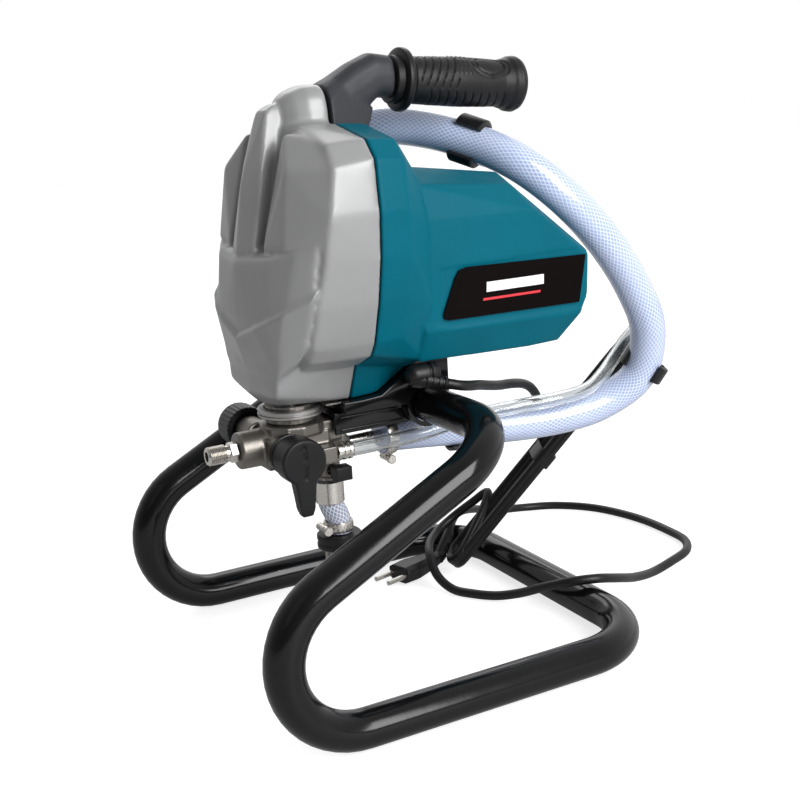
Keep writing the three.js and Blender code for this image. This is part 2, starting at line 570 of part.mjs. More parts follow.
// Centre of the two-wheel gear, above and beside the motor and crank shafts.
function clusterCentre() {
  const toMotor = pitchRadius(TEETH.pinion) + pitchRadius(TEETH.wheel);
  const toCrank = pitchRadius(TEETH.small) + pitchRadius(TEETH.crank);
  const rise = MOTOR_Z - CRANK_Z;
  const above = (toCrank ** 2 - toMotor ** 2 + rise ** 2) / (2 * rise);
  return [Math.sqrt(toCrank ** 2 - above ** 2), CRANK_Z + above];
}

function drive() {
  const [y, z] = clusterCentre();
  const motorToCluster = Math.atan2(z - MOTOR_Z, y);
  const clusterToCrank = Math.atan2(CRANK_Z - z, -y);
  const wheel = gear(TEETH.wheel, [y, z], 38, 45, motorToCluster + Math.PI, true);
  const small = gear(TEETH.small, [y, z], 2, 12, clusterToCrank, false);
  place("cluster_gear", join(wheel, small, bar("x", 5, 1, 48, [y, z], 16)), steel());
  place("crank_gear", join(
    gear(TEETH.crank, [0, CRANK_Z], 3, 11, clusterToCrank + Math.PI, true),
    bar("x", 6, 10, 34, [0, CRANK_Z], 16),
    bar("x", 4, -25, 4, [CRANK_THROW, CRANK_Z], 16),
  ), steel());
  place("rotor", join(
    gear(TEETH.pinion, [0, MOTOR_Z], 37, 46, motorToCluster, false),
    bar("x", 5, 36, 176, [0, MOTOR_Z], 16),
    bar("x", 25, 92, 138, [0, MOTOR_Z], 24),
    bar("x", 12, 146, 158, [0, MOTOR_Z], 20),
  ), copper());

  const plate = hull(bothSides([...seamAt(28, 0.9), ...seamAt(33.5, 0.9)]));
  place("gear_plate", cut(plate, bar("x", 6.3, 20, 40, [0, CRANK_Z], 16), bar("x", 5.3, 20, 40, [y, z], 16)),
    castMetal());

  const reach = CRANK_THROW * 2 + 4.5;
  const yoke = cut(
    block([-23, -13], [-CRANK_THROW - 13, CRANK_THROW + 13], [CRANK_Z - reach - 6, CRANK_Z + reach + 6]),
    block([-24, -12], [-CRANK_THROW - 5, CRANK_THROW + 5], [CRANK_Z - reach, CRANK_Z + reach]),
  );
  place("scotch_yoke", yoke, steel());
  place("piston_rod", bar("z", 7, 158, CRANK_Z - reach - 6 - GAP, [PUMP_X, 0], 20), steel());
}

function motor() {
  const axis = [0, MOTOR_Z];
  place("stator", ring("x", 41, 27, 90, 140, axis, 28), steel());
  place("front_bearing", ring("x", 11, 5.4, 56, 65, axis, 20), steel());
  place("rear_bearing", ring("x", 11, 5.4, 165, 173, axis, 20), steel());
  place("bearing_plate", cut(block([57, 63], [-46, 46], [216, 306]), bar("x", 11.3, 50, 70, axis, 20)), castMetal());
  const blades = [0, 1, 2, 3, 4, 5].map((i) =>
    block([70, 80], [-1, 1], [8, 37]).rotateX((i * Math.PI) / 3).translate(0, 0, MOTOR_Z),
  );
  place("cooling_fan", cut(
    join(bar("x", 10, 68, 81, axis, 20), bar("x", 38, 68, 70.5, axis, 24), ...blades),
    bar("x", 5.4, 60, 90, axis, 16),
  ), blackPlastic());
}

stand();
chassis();
frontCover();
motorHousing();
handle();
pump();
primeValve();
pressureControl();
pickUp();
hoses();
powerCord();
powerSwitch();
drive();
motor();

root.position.x = -MIDDLE_X;
export default root;
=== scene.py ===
# Airless paint sprayer: the looks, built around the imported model.
import json
import math

import bmesh
import bpy
from mathutils import Matrix, Quaternion, Vector
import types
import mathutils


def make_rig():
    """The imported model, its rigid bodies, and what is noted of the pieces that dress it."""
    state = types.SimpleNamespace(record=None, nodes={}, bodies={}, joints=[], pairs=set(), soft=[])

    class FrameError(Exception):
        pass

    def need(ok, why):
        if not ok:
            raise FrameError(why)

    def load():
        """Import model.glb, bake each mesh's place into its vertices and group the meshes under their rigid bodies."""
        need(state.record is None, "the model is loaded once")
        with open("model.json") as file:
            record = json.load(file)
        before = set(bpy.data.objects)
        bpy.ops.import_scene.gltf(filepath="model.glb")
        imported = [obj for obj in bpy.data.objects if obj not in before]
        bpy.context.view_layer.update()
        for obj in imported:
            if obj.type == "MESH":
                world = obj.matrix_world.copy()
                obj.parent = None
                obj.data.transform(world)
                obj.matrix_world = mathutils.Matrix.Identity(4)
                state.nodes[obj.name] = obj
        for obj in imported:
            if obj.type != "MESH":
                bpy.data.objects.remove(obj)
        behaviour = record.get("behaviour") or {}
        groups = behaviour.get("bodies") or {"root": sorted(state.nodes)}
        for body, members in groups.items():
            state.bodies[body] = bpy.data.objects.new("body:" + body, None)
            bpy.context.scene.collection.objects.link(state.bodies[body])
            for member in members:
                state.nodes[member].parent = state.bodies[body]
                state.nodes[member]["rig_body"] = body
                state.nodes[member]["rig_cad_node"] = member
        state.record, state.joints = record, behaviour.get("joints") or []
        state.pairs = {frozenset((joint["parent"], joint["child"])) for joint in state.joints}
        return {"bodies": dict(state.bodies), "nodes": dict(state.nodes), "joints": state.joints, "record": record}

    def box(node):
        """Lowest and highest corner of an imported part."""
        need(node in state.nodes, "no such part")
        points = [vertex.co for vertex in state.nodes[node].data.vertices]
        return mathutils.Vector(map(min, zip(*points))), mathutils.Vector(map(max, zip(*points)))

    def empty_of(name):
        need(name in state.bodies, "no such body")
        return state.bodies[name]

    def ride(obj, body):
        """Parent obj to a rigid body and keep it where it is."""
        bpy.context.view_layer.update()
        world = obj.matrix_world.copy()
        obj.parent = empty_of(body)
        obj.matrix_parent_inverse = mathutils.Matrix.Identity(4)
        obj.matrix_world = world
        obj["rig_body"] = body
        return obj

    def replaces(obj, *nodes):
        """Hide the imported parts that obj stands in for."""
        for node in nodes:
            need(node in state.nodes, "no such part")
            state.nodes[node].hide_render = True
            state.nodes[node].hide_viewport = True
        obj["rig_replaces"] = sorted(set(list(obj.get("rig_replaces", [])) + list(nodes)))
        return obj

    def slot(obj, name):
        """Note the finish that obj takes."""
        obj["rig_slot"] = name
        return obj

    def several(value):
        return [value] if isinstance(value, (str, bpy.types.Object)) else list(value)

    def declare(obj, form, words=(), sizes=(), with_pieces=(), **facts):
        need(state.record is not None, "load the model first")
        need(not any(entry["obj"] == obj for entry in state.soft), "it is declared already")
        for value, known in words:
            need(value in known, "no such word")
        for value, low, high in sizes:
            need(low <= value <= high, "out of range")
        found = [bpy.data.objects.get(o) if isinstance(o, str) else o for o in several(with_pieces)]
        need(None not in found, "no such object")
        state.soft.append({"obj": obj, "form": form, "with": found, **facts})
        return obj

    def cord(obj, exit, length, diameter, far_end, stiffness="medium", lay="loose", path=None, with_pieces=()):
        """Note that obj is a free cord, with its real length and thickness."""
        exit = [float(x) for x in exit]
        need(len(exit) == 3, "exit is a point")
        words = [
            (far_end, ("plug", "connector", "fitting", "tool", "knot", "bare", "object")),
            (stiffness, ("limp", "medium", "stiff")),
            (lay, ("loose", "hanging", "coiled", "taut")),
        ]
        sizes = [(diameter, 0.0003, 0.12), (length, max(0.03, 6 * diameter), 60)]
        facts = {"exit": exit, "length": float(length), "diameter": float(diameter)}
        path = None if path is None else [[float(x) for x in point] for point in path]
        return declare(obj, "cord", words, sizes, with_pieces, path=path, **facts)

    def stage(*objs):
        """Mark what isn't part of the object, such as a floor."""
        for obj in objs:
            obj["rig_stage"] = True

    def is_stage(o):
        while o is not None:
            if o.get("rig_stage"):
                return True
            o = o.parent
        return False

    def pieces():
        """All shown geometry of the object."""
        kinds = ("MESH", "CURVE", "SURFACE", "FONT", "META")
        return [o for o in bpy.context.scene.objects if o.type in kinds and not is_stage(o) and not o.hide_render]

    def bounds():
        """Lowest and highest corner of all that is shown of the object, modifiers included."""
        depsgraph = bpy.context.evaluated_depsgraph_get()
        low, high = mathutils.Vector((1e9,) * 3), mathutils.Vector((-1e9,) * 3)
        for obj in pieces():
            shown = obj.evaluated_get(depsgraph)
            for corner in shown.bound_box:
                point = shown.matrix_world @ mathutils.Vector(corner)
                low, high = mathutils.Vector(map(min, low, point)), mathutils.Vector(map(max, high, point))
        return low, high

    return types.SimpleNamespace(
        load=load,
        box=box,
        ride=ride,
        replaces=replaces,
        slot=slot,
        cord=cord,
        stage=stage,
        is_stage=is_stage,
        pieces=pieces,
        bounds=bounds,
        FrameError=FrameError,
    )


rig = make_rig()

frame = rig.load()
cad_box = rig.bounds()

MM = 0.001
ALONG, ACROSS, UP = (1, 0, 0), (0, 1, 0), (0, 0, 1)
PISTON_X = -18  # millimetres, in the drawing's own X
low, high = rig.box("piston_rod")
SHIFT = (low.x + high.x) / 2 - PISTON_X * MM


def at(x, y, z):
    """A point of the drawing, in millimetres, as a point of the frame."""
    return Vector((SHIFT + x * MM, y * MM, z * MM))


def points(route):
    return [at(*p) for p in route]


# ---------- camera ----------
CAMERA_PLACE = (-318.32, -740.14, 381.64)
CAMERA_TURN, CAMERA_LIFT, CAMERA_ROLL = -27.376, 14.008, -3.376
CAMERA_LENS, SENSOR_WIDTH = 55.168, 36


def add_camera():
    turn, lift, roll = (math.radians(a) for a in (CAMERA_TURN, CAMERA_LIFT, CAMERA_ROLL))
    back = Vector((math.sin(turn) * math.cos(lift), -math.cos(turn) * math.cos(lift), math.sin(lift)))
    right = Vector((math.cos(turn), math.sin(turn), 0))
    up = back.cross(right)
    across = right * math.cos(roll) + up * math.sin(roll)
    above = up * math.cos(roll) - right * math.sin(roll)
    data = bpy.data.cameras.new("camera")
    data.sensor_width = SENSOR_WIDTH
    data.lens = CAMERA_LENS
    camera = bpy.data.objects.new("camera", data)
    place = at(*CAMERA_PLACE)
    camera.matrix_world = Matrix(
        [(across[i], above[i], back[i], place[i]) for i in range(3)] + [(0, 0, 0, 1)]
    )
    bpy.context.scene.collection.objects.link(camera)
    bpy.context.scene.camera = camera


add_camera()


# ---------- mesh tools ----------
def new_object(name, mesh):
    made = bpy.data.objects.new(name, mesh)
    bpy.context.scene.collection.objects.link(made)
    return made


def mesh_of(name, shape):
    mesh = bpy.data.meshes.new(name)
    shape.to_mesh(mesh)
    shape.free()
    return mesh


def settle(made, material, body, slot, replaced=(), angle=35):
    """Shades a new piece, and gives it its material, its body and the CAD nodes that it stands for."""
    made.data.shade_smooth()
    made.data.set_sharp_from_angle(angle=math.radians(angle))
    made.data.materials.clear()
    made.data.materials.append(material)
    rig.ride(made, body)
    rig.slot(made, slot)
    if replaced:
        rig.replaces(made, *([replaced] if isinstance(replaced, str) else replaced))
    return made


def piece(name, shape, material, slot, replaced=(), angle=35, body="machine"):
    """A finished piece made from a shape."""
    return settle(new_object(name, mesh_of(name, shape)), material, body, slot, replaced, angle)


def apply_modifiers(made):
    graph = bpy.context.evaluated_depsgraph_get()
    mesh = bpy.data.meshes.new_from_object(made.evaluated_get(graph))
    made.modifiers.clear()
    made.data = mesh
    return made


def add_hull(shape, corners):
    """A convex solid round the corners, given in millimetres of the drawing."""
    made = [shape.verts.new(at(*c)) for c in corners]
    result = bmesh.ops.convex_hull(shape, input=made)
    unused = [v for v in result["geom_interior"] if isinstance(v, bmesh.types.BMVert)]
    bmesh.ops.delete(shape, geom=unused, context="VERTS")


def add_box(shape, x, y, z):
    add_hull(shape, [(a, b, c) for a in x for b in y for c in z])


def both_sides(corners):
    return [(x, side * y, z) for x, y, z in corners for side in (-1, 1)]


def circle(count):
    """Angles evenly spaced round a full turn."""
    return [2 * math.pi * k / count for k in range(count)]


def squarish(value, power):
    """A sine or cosine bent so that a circle becomes a rounded box."""
    return math.copysign(abs(value) ** power, value)


def frame_along(direction):
    """Two directions across the given one."""
    side = Vector((0, 0, 1)) if abs(direction.z) < 0.9 else Vector((1, 0, 0))
    first = direction.cross(side).normalized()
    return first, direction.cross(first).normalized()


def add_patch(shape, before, after, i, j):
    """A face between two rings, either of which may be a single point."""
    corners = [before[i % len(before)], before[j % len(before)]]
    corners += [after[j % len(after)], after[i % len(after)]]
    unique = list(dict.fromkeys(corners))
    if len(unique) > 2:
        shape.faces.new(unique)


def add_skin(shape, rings):
    """Joins rings of corners into a tube with closed ends."""
    for before, after in zip(rings, rings[1:]):
        for i in range(len(before)):
            j = (i + 1) % len(before)
            shape.faces.new((before[i], after[i], after[j], before[j]))
    shape.faces.new(rings[0])
    shape.faces.new(rings[-1][::-1])


def add_turned(shape, profile, start, direction, sides=48):
    """A solid of revolution: (distance, radius) pairs in millimetres along a direction from a point."""
    direction = Vector(direction).normalized()
    first, second = frame_along(direction)
    rings = []
    for distance, radius in profile:
        centre = start + direction * distance * MM
        if radius <= 0:
            rings.append([shape.verts.new(centre)])
            continue
        spokes = [first * math.cos(t) + second * math.sin(t) for t in circle(sides)]
        rings.append([shape.verts.new(centre + spoke * radius * MM) for spoke in spokes])
    for before, after in zip(rings, rings[1:]):
        for i in range(sides):
            j = (i + 1) % sides
            add_patch(shape, before, after, i, j)
    for ring in (rings[0], rings[-1]):
        if len(ring) > 1 and profile[0] != profile[-1]:
            shape.faces.new(ring)
    if profile[0] == profile[-1]:
        bmesh.ops.remove_doubles(shape, verts=rings[0] + rings[-1], dist=1e-7)


def add_bar(shape, start, end, radius, end_radius=None, sides=48, edge=0.4):
    """A round bar with softened ends between two points of the drawing."""
    start, end = at(*start), at(*end)
    long = (end - start).length / MM
    end_radius = radius if end_radius is None else end_radius
    profile = [(0, 0), (0, radius - edge), (edge, radius), (long - edge, end_radius),
               (long, end_radius - edge), (long, 0)]
    add_turned(shape, profile, start, end - start, sides)


def turned(name, profile, start, direction, sides, material, slot, replaced=(), body="machine"):
    """A piece that is one solid of revolution."""
    shape = bmesh.new()
    add_turned(shape, profile, start, direction, sides)
    return piece(name, shape, material, slot, replaced, body=body)


def add_bore(shape, start, direction, radius, long, sides=32):
    """A plain cylinder to cut away."""
    add_turned(shape, [(0, 0), (0, radius), (long, radius), (long, 0)], at(*start), direction, sides)


def add_teeth(shape, start, way, count, radius, ahead, half, slant=0):
    """Small blocks round an axis. half is their half size along, round and out of it, in millimetres."""
    way = Vector(way)
    first, second = frame_along(way)
    signs = (-1, 1)
    for turn in circle(count):
        out = first * math.cos(turn) + second * math.sin(turn)
        side = way.cross(out)
        middle = start + (out * radius + way * ahead) * MM
        corners = [
            middle + (way * a * half[0] + side * (b * half[1] + a * slant) + out * c * half[2]) * MM
            for a in signs for b in signs for c in signs
        ]
        bmesh.ops.convex_hull(shape, input=[shape.verts.new(c) for c in corners])


def smooth_line(route, step):
    """A dense line through the points, as a centripetal Catmull-Rom curve."""
    padded = [route[0] * 2 - route[1], *route, route[-1] * 2 - route[-2]]
    line = [route[0]]
    for p0, p1, p2, p3 in zip(padded, padded[1:], padded[2:], padded[3:]):
        knots = [0.0]
        for a, b in ((p0, p1), (p1, p2), (p2, p3)):
            knots.append(knots[-1] + max((b - a).length, 1e-9) ** 0.5)
        t0, t1, t2, t3 = knots
        count = max(2, round((p2 - p1).length / step))
        for k in range(1, count + 1):
            t = t1 + (t2 - t1) * k / count
            a1 = p0 * ((t1 - t) / (t1 - t0)) + p1 * ((t - t0) / (t1 - t0))
            a2 = p1 * ((t2 - t) / (t2 - t1)) + p2 * ((t - t1) / (t2 - t1))
            a3 = p2 * ((t3 - t) / (t3 - t2)) + p3 * ((t - t2) / (t3 - t2))
            b1 = a1 * ((t2 - t) / (t2 - t0)) + a2 * ((t - t0) / (t2 - t0))
            b2 = a2 * ((t3 - t) / (t3 - t1)) + a3 * ((t - t1) / (t3 - t1))
            line.append(b1 * ((t2 - t) / (t2 - t1)) + b2 * ((t - t1) / (t2 - t1)))
    return line


def length_of(line):
    return sum((b - a).length for a, b in zip(line, line[1:]))


def add_sweep(shape, line, radius, sides=24, hole=0):
    """A round tube along a dense line, with u round it and v along it in metres as its UV map."""
    layer = shape.loops.layers.uv.verify()
    tangents = []
    for i in range(len(line)):
        before, after = line[max(i - 1, 0)], line[min(i + 1, len(line) - 1)]
        tangents.append((after - before).normalized())
    across, _ = frame_along(tangents[0])
    travelled = [0.0]
    for a, b in zip(line, line[1:]):
        travelled.append(travelled[-1] + (b - a).length)
    spokes = []
    for i, tangent in enumerate(tangents):
        if i:
            turn = tangents[i - 1].rotation_difference(tangent)
            across = turn @ across
        across = (across - tangent * across.dot(tangent)).normalized()
        spokes.append((across.copy(), tangent.cross(across)))

    def skin(size, outward):
        rings = [
            [
                shape.verts.new(p + (a * math.cos(2 * math.pi * k / sides)
                                     + b * math.sin(2 * math.pi * k / sides)) * size)
                for k in range(sides)
            ]
            for p, (a, b) in zip(line, spokes)
        ]
        for i in range(len(rings) - 1):
            for k in range(sides):
                n = (k + 1) % sides
                corners = [(i, k, k), (i, n, k + 1), (i + 1, n, k + 1), (i + 1, k, k)]
                corners = corners if outward else corners[::-1]
                face = shape.faces.new([rings[r][c] for r, c, _ in corners])
                for loop, (r, _, u) in zip(face.loops, corners):
                    loop[layer].uv = (u / sides, travelled[r])
        return rings

    outer = skin(radius, True)
    if hole:
        inner = skin(hole, False)
        for end, flip in ((0, False), (-1, True)):
            for k in range(sides):
                n = (k + 1) % sides
                corners = [outer[end][n], outer[end][k], inner[end][k], inner[end][n]]
                shape.faces.new(corners[::-1] if flip else corners)
    else:
        shape.faces.new(outer[0][::-1])
        shape.faces.new(outer[-1])


def take_away(made, cuts):
    """Sets a piece up to lose the cuts, and returns the tool that does it."""
    tool = new_object("cutting_tool", mesh_of("cutting_tool", cuts))
    taking = made.modifiers.new("cuts", "BOOLEAN")
    taking.operation = "DIFFERENCE"
    taking.solver = "EXACT"
    taking.object = tool
    return tool


def fused(name, shape, cuts=None, voxel=1.1, rounds=6):
    """Melts overlapping solids into one casting with soft edges, after the cuts are taken away."""
    made = new_object(name, mesh_of(name, shape))
    if cuts is not None:
        tool = take_away(made, cuts)
        made.modifiers["cuts"].use_self = True
    melting = made.modifiers.new("melt", "REMESH")
    melting.mode = "VOXEL"
    melting.voxel_size = voxel * MM
    easing = made.modifiers.new("ease", "SMOOTH")
    easing.factor = 0.5
    easing.iterations = rounds
    apply_modifiers(made)
    if cuts is not None:
        bpy.data.objects.remove(tool)
    return made


def add_soft(shape, hulls, rounds):
    """Adds hulls melted together with broad soft edges."""
    melted = bmesh.new()
    for corners in hulls:
        add_hull(melted, corners)
    made = fused("soft_part", melted, voxel=1.5, rounds=rounds)
    shape.from_mesh(made.data)
    bpy.data.objects.remove(made)


def carved(made, cuts):
    """Takes the cuts away from a finished shape."""
    tool = take_away(made, cuts)
    apply_modifiers(made)
    bpy.data.objects.remove(tool)
    return made


def softened(name, node, width):
    """A copy of a CAD node's shape with its edges rounded."""
    made = new_object(name, frame["nodes"][node].data.copy())
    shape = bmesh.new()
    shape.from_mesh(made.data)
    bmesh.ops.remove_doubles(shape, verts=shape.verts, dist=1e-6)
    bmesh.ops.dissolve_limit(shape, angle_limit=math.radians(1), verts=shape.verts, edges=shape.edges)
    shape.to_mesh(made.data)
    shape.free()
    rounding = made.modifiers.new("round", "BEVEL")
    rounding.width = width * MM
    rounding.segments = 3
    rounding.limit_method = "ANGLE"
    rounding.angle_limit = math.radians(28)
    return apply_modifiers(made)


def rounded_piece(name, node, width, material, slot, body="machine"):
    return settle(softened(name, node, width), material, body, slot, node)


# ---------- materials ----------
class Finish:
    """A principled material with small helpers for its procedural detail."""

    def __init__(self, name, color, roughness, **sockets):
        self.material = bpy.data.materials.new(name)
        self.material.use_nodes = True
        self.nodes = self.material.node_tree.nodes
        self.links = self.material.node_tree.links
        self.shader = self.nodes["Principled BSDF"]
        self.shader.inputs["Base Color"].default_value = (*color, 1)
        self.shader.inputs["Roughness"].default_value = roughness
        for socket, value in sockets.items():
            self.shader.inputs[socket.replace("_", " ")].default_value = value
        self.color = color

    def node(self, kind, inputs=None, **settings):
        made = self.nodes.new("ShaderNode" + kind)
        for key, value in settings.items():
            setattr(made, key, value)
        for key, value in (inputs or {}).items():
            if isinstance(value, bpy.types.NodeSocket):
                self.links.new(value, made.inputs[key])
            else:
                made.inputs[key].default_value = value
        return made

    def math(self, operation, *values):
        return self.node("Math", dict(enumerate(values)), operation=operation).outputs[0]

    def place(self):
        return self.node("TexCoord").outputs["Object"]

    def noise(self, scale, detail=3):
        return self.node(
            "TexNoise", {"Vector": self.place(), "Scale": scale, "Detail": detail, "Roughness": 0.55}
        ).outputs["Fac"]

    def spread(self, value, low, high):
        return self.node("MapRange", {"Value": value, "To Min": low, "To Max": high}).outputs["Result"]

    def window(self, value, start, end):
        """0 below start and 1 above end."""
        return self.node("MapRange", {"Value": value, "From Min": start,
                                      "From Max": end}).outputs["Result"]

    def mix(self, factor, first, second):
        made = self.node("Mix", data_type="RGBA")
        for index, value in ((0, factor), (6, first), (7, second)):
            if isinstance(value, bpy.types.NodeSocket):
                self.links.new(value, made.inputs[index])
            else:
                made.inputs[index].default_value = value if index == 0 else (*value, 1)
        return made.outputs[2]

    def paint(self, socket):
        self.links.new(socket, self.shader.inputs["Base Color"])
        return self

    def rough(self, socket):
        self.links.new(socket, self.shader.inputs["Roughness"])
        return self

    def bump(self, height, strength, depth):
        made = self.node("Bump", {"Height": height, "Strength": strength, "Distance": depth * MM})
        before = self.shader.inputs["Normal"].links
        if before:
            self.links.new(before[0].from_socket, made.inputs["Normal"])
        self.links.new(made.outputs["Normal"], self.shader.inputs["Normal"])
        return self

    def shades(self, amount, scale):
        """Slight variation of the base colour."""
        dark = tuple(c * (1 - amount) for c in self.color)
        light = tuple(min(1, c * (1 + amount)) for c in self.color)
        return self.paint(self.mix(self.noise(scale), dark, light))

    def worn_edges(self, color, amount=0.5):
        edge = self.node("NewGeometry").outputs["Pointiness"]
        worn = self.math("MULTIPLY", self.window(edge, 0.53, 0.6),
                         self.window(self.noise(400), 0.5, 0.62))
        base = self.shader.inputs["Base Color"].links
        under = base[0].from_socket if base else self.color
        return self.paint(self.mix(self.math("MULTIPLY", worn, amount), under, color))


def grained(name, color, roughness, grain, strength, depth=0.15, **sockets):
    """Moulded plastic or rubber with a fine spark-eroded grain."""
    made = Finish(name, color, roughness, **sockets)
    made.bump(made.noise(grain, 2), strength, depth)
    made.rough(made.spread(made.noise(60), roughness - 0.06, roughness + 0.06))
    return made.shades(0.12, 25)


def black_paint():
    made = Finish("gloss_black_paint", (0.004, 0.004, 0.0045), 0.12, Specular_IOR_Level=0.32)
    made.bump(made.noise(90, 2), 0.12, 0.4)
    made.bump(made.noise(900, 2), 0.05, 0.05)
    made.rough(made.spread(made.noise(35), 0.1, 0.2))
    return made.shades(0.25, 12).worn_edges((0.03, 0.03, 0.032), 0.3)


def silver_paint():
    made = Finish("silver_grey_paint", (0.26, 0.262, 0.264), 0.4, Metallic=0.1, Coat_Weight=0.25,
                  Coat_Roughness=0.2)
    flake = made.noise(1800, 1)
    made.bump(flake, 0.06, 0.04)
    made.rough(made.spread(made.noise(40), 0.34, 0.44))
    return made.shades(0.04, 30).worn_edges((0.42, 0.425, 0.43), 0.4)


def teal_plastic():
    return grained("teal_plastic", (0.0, 0.1, 0.145), 0.42, 1500, 0.12, 0.06, Specular_IOR_Level=0.08)


def cast_metal():
    made = Finish("cast_metal", (0.185, 0.172, 0.155), 0.4, Metallic=0.9)
    made.bump(made.noise(700, 4), 0.35, 0.16)
    made.bump(made.noise(120, 3), 0.15, 0.3)
    made.rough(made.spread(made.noise(90), 0.3, 0.48))
    return made.shades(0.18, 60).worn_edges((0.5, 0.47, 0.43), 0.7)


def steel(name="turned_steel", color=(0.58, 0.555, 0.52), roughness=0.24):
    made = Finish(name, color, roughness, Metallic=1.0)
    made.bump(made.noise(1600, 2), 0.08, 0.03)
    made.rough(made.spread(made.noise(300, 4), roughness - 0.06, roughness + 0.1))
    return made.shades(0.08, 80)


def wire_mesh():
    made = Finish("woven_wire", (0.4, 0.39, 0.37), 0.35, Metallic=0.9)
    place = made.node("SeparateXYZ", {0: made.place()})
    waves = [made.math("SINE", made.math("MULTIPLY", place.outputs[i], 5200)) for i in (0, 1, 2)]
    weave = made.math("ADD", made.math("ADD", waves[0], waves[1]), waves[2])
    made.bump(weave, 0.6, 0.25)
    # The low points of the weave are painted near black, as painted shade in the gaps between the wires; the high
    # points take the steel's own grey.
    return made.paint(made.mix(made.window(weave, -1, 1), (0.06, 0.06, 0.06), (0.5, 0.48, 0.45)))


def helix_lines(made, starts, pitch, width, along=1):
    """1 on the yarns of one helical family, from the UV map."""
    uv = made.node("SeparateXYZ", {0: made.node("UVMap").outputs[0]})
    round_it = made.math("MULTIPLY", uv.outputs[0], starts)
    down_it = made.math("MULTIPLY", uv.outputs[1], along / (pitch * MM))
    phase = made.math("FRACT", made.math("ADD", round_it, made.math("ADD", down_it, 1000.0)))
    away = made.math("ABSOLUTE", made.math("SUBTRACT", phase, 0.5))
    return made.math("SUBTRACT", 1.0, made.window(away, width * 0.5, width * 0.5 + 0.06))


def braided_hose(name, starts, pitch, gaps, yarn):
    made = Finish(name, gaps, 0.22, Coat_Weight=0.8, Coat_Roughness=0.06)
    first = helix_lines(made, starts, pitch, 0.17)
    second = helix_lines(made, starts, pitch, 0.17, -1)
    front = made.math("MAXIMUM", first, second)
    behind_a = helix_lines(made, starts, pitch * 1.07, 0.3)
    behind_b = helix_lines(made, starts, pitch * 1.07, 0.3, -1)
    behind = made.math("MAXIMUM", behind_a, behind_b)
    haze = made.mix(made.math("MULTIPLY", behind, 0.45), gaps,
                    tuple((a + b) / 2 for a, b in zip(gaps, yarn)))
    cloudy = made.mix(made.window(made.noise(70), 0.35, 0.75), haze,
                      tuple(min(1, c * 1.08) for c in gaps))
    made.paint(made.mix(made.math("MULTIPLY", front, 0.85), cloudy, yarn))
    made.bump(front, 0.25, 0.25)
    return made


def clear_plastic():
    made = Finish("clear_pvc", (0.93, 0.95, 0.96), 0.05, IOR=1.35, Transmission_Weight=0.95)
    made.bump(made.noise(150, 2), 0.1, 0.2)
    return made.rough(made.spread(made.noise(60), 0.03, 0.1))


def label_print():
    """Black film, without lettering."""
    made = Finish("label_print", (0.003, 0.0015, 0.0015), 0.5, Specular_IOR_Level=0.04)
    made.bump(made.noise(500, 1), 0.04, 0.03)
    return made.shades(0.2, 40)


def plain(name, color, roughness=0.4):
    made = Finish(name, color, roughness)
    made.bump(made.noise(600, 1), 0.05, 0.03)
    return made.shades(0.05, 60)


def windings():
    made = Finish("copper_windings", (0.45, 0.18, 0.07), 0.35, Metallic=0.9)
    place = made.node("SeparateXYZ", {0: made.place()})
    wire = made.math("SINE", made.math("MULTIPLY", place.outputs[1], 7000))
    made.bump(wire, 0.5, 0.3)
    return made.shades(0.2, 90)


PAINT = black_paint().material
SILVER = silver_paint().material
TEAL = teal_plastic().material
DARK = grained("dark_plastic", (0.024, 0.025, 0.03), 0.5, 1300, 0.3, Specular_IOR_Level=0.35).material
BLACK = grained("black_plastic", (0.007, 0.007, 0.008), 0.42, 1300, 0.25,
                Specular_IOR_Level=0.28).material
GRIP = grained("grip_rubber", (0.006, 0.006, 0.007), 0.45, 1600, 0.2, Specular_IOR_Level=0.3).material
RUBBER = grained("cord_rubber", (0.006, 0.006, 0.0065), 0.4, 1900, 0.12, 0.06,
                 Specular_IOR_Level=0.32).material
CAST = cast_metal().material
STEEL = steel().material
DULL_STEEL = steel("dull_steel", (0.4, 0.39, 0.38), 0.4).material
MESH = wire_mesh().material
HOSE = braided_hose("braided_hose", 28, 4.4, (0.31, 0.38, 0.60), (0.70, 0.76, 0.90)).material
DROP = braided_hose("drop_braid", 18, 4.2, (0.20, 0.23, 0.34), (0.82, 0.85, 0.92)).material
CLEAR = clear_plastic().material
LABEL = label_print().material
RED = plain("stripe_red", (0.62, 0.02, 0.03)).material
WHITE = plain("mark_white", (0.8, 0.8, 0.8)).material
COPPER = windings().material

SLOT_MATERIALS = {
    "frame_paint": PAINT,
    "cover_paint": SILVER,
    "housing_plastic": TEAL,
    "dark_plastic": DARK,
    "grip_rubber": GRIP,
    "cast_metal": CAST,
    "steel": STEEL,
    "mesh_steel": MESH,
    "black_plastic": BLACK,
    "cord_rubber": RUBBER,
    "braided_pvc": DROP,
    "clear_pvc": CLEAR,
    "copper": COPPER,
    "label_print": LABEL,
}
for part in frame["record"]["subparts"]:
    node = frame["nodes"][part["node"]]
    node.data.materials.clear()
    node.data.materials.append(SLOT_MATERIALS[part["material_slot"]])


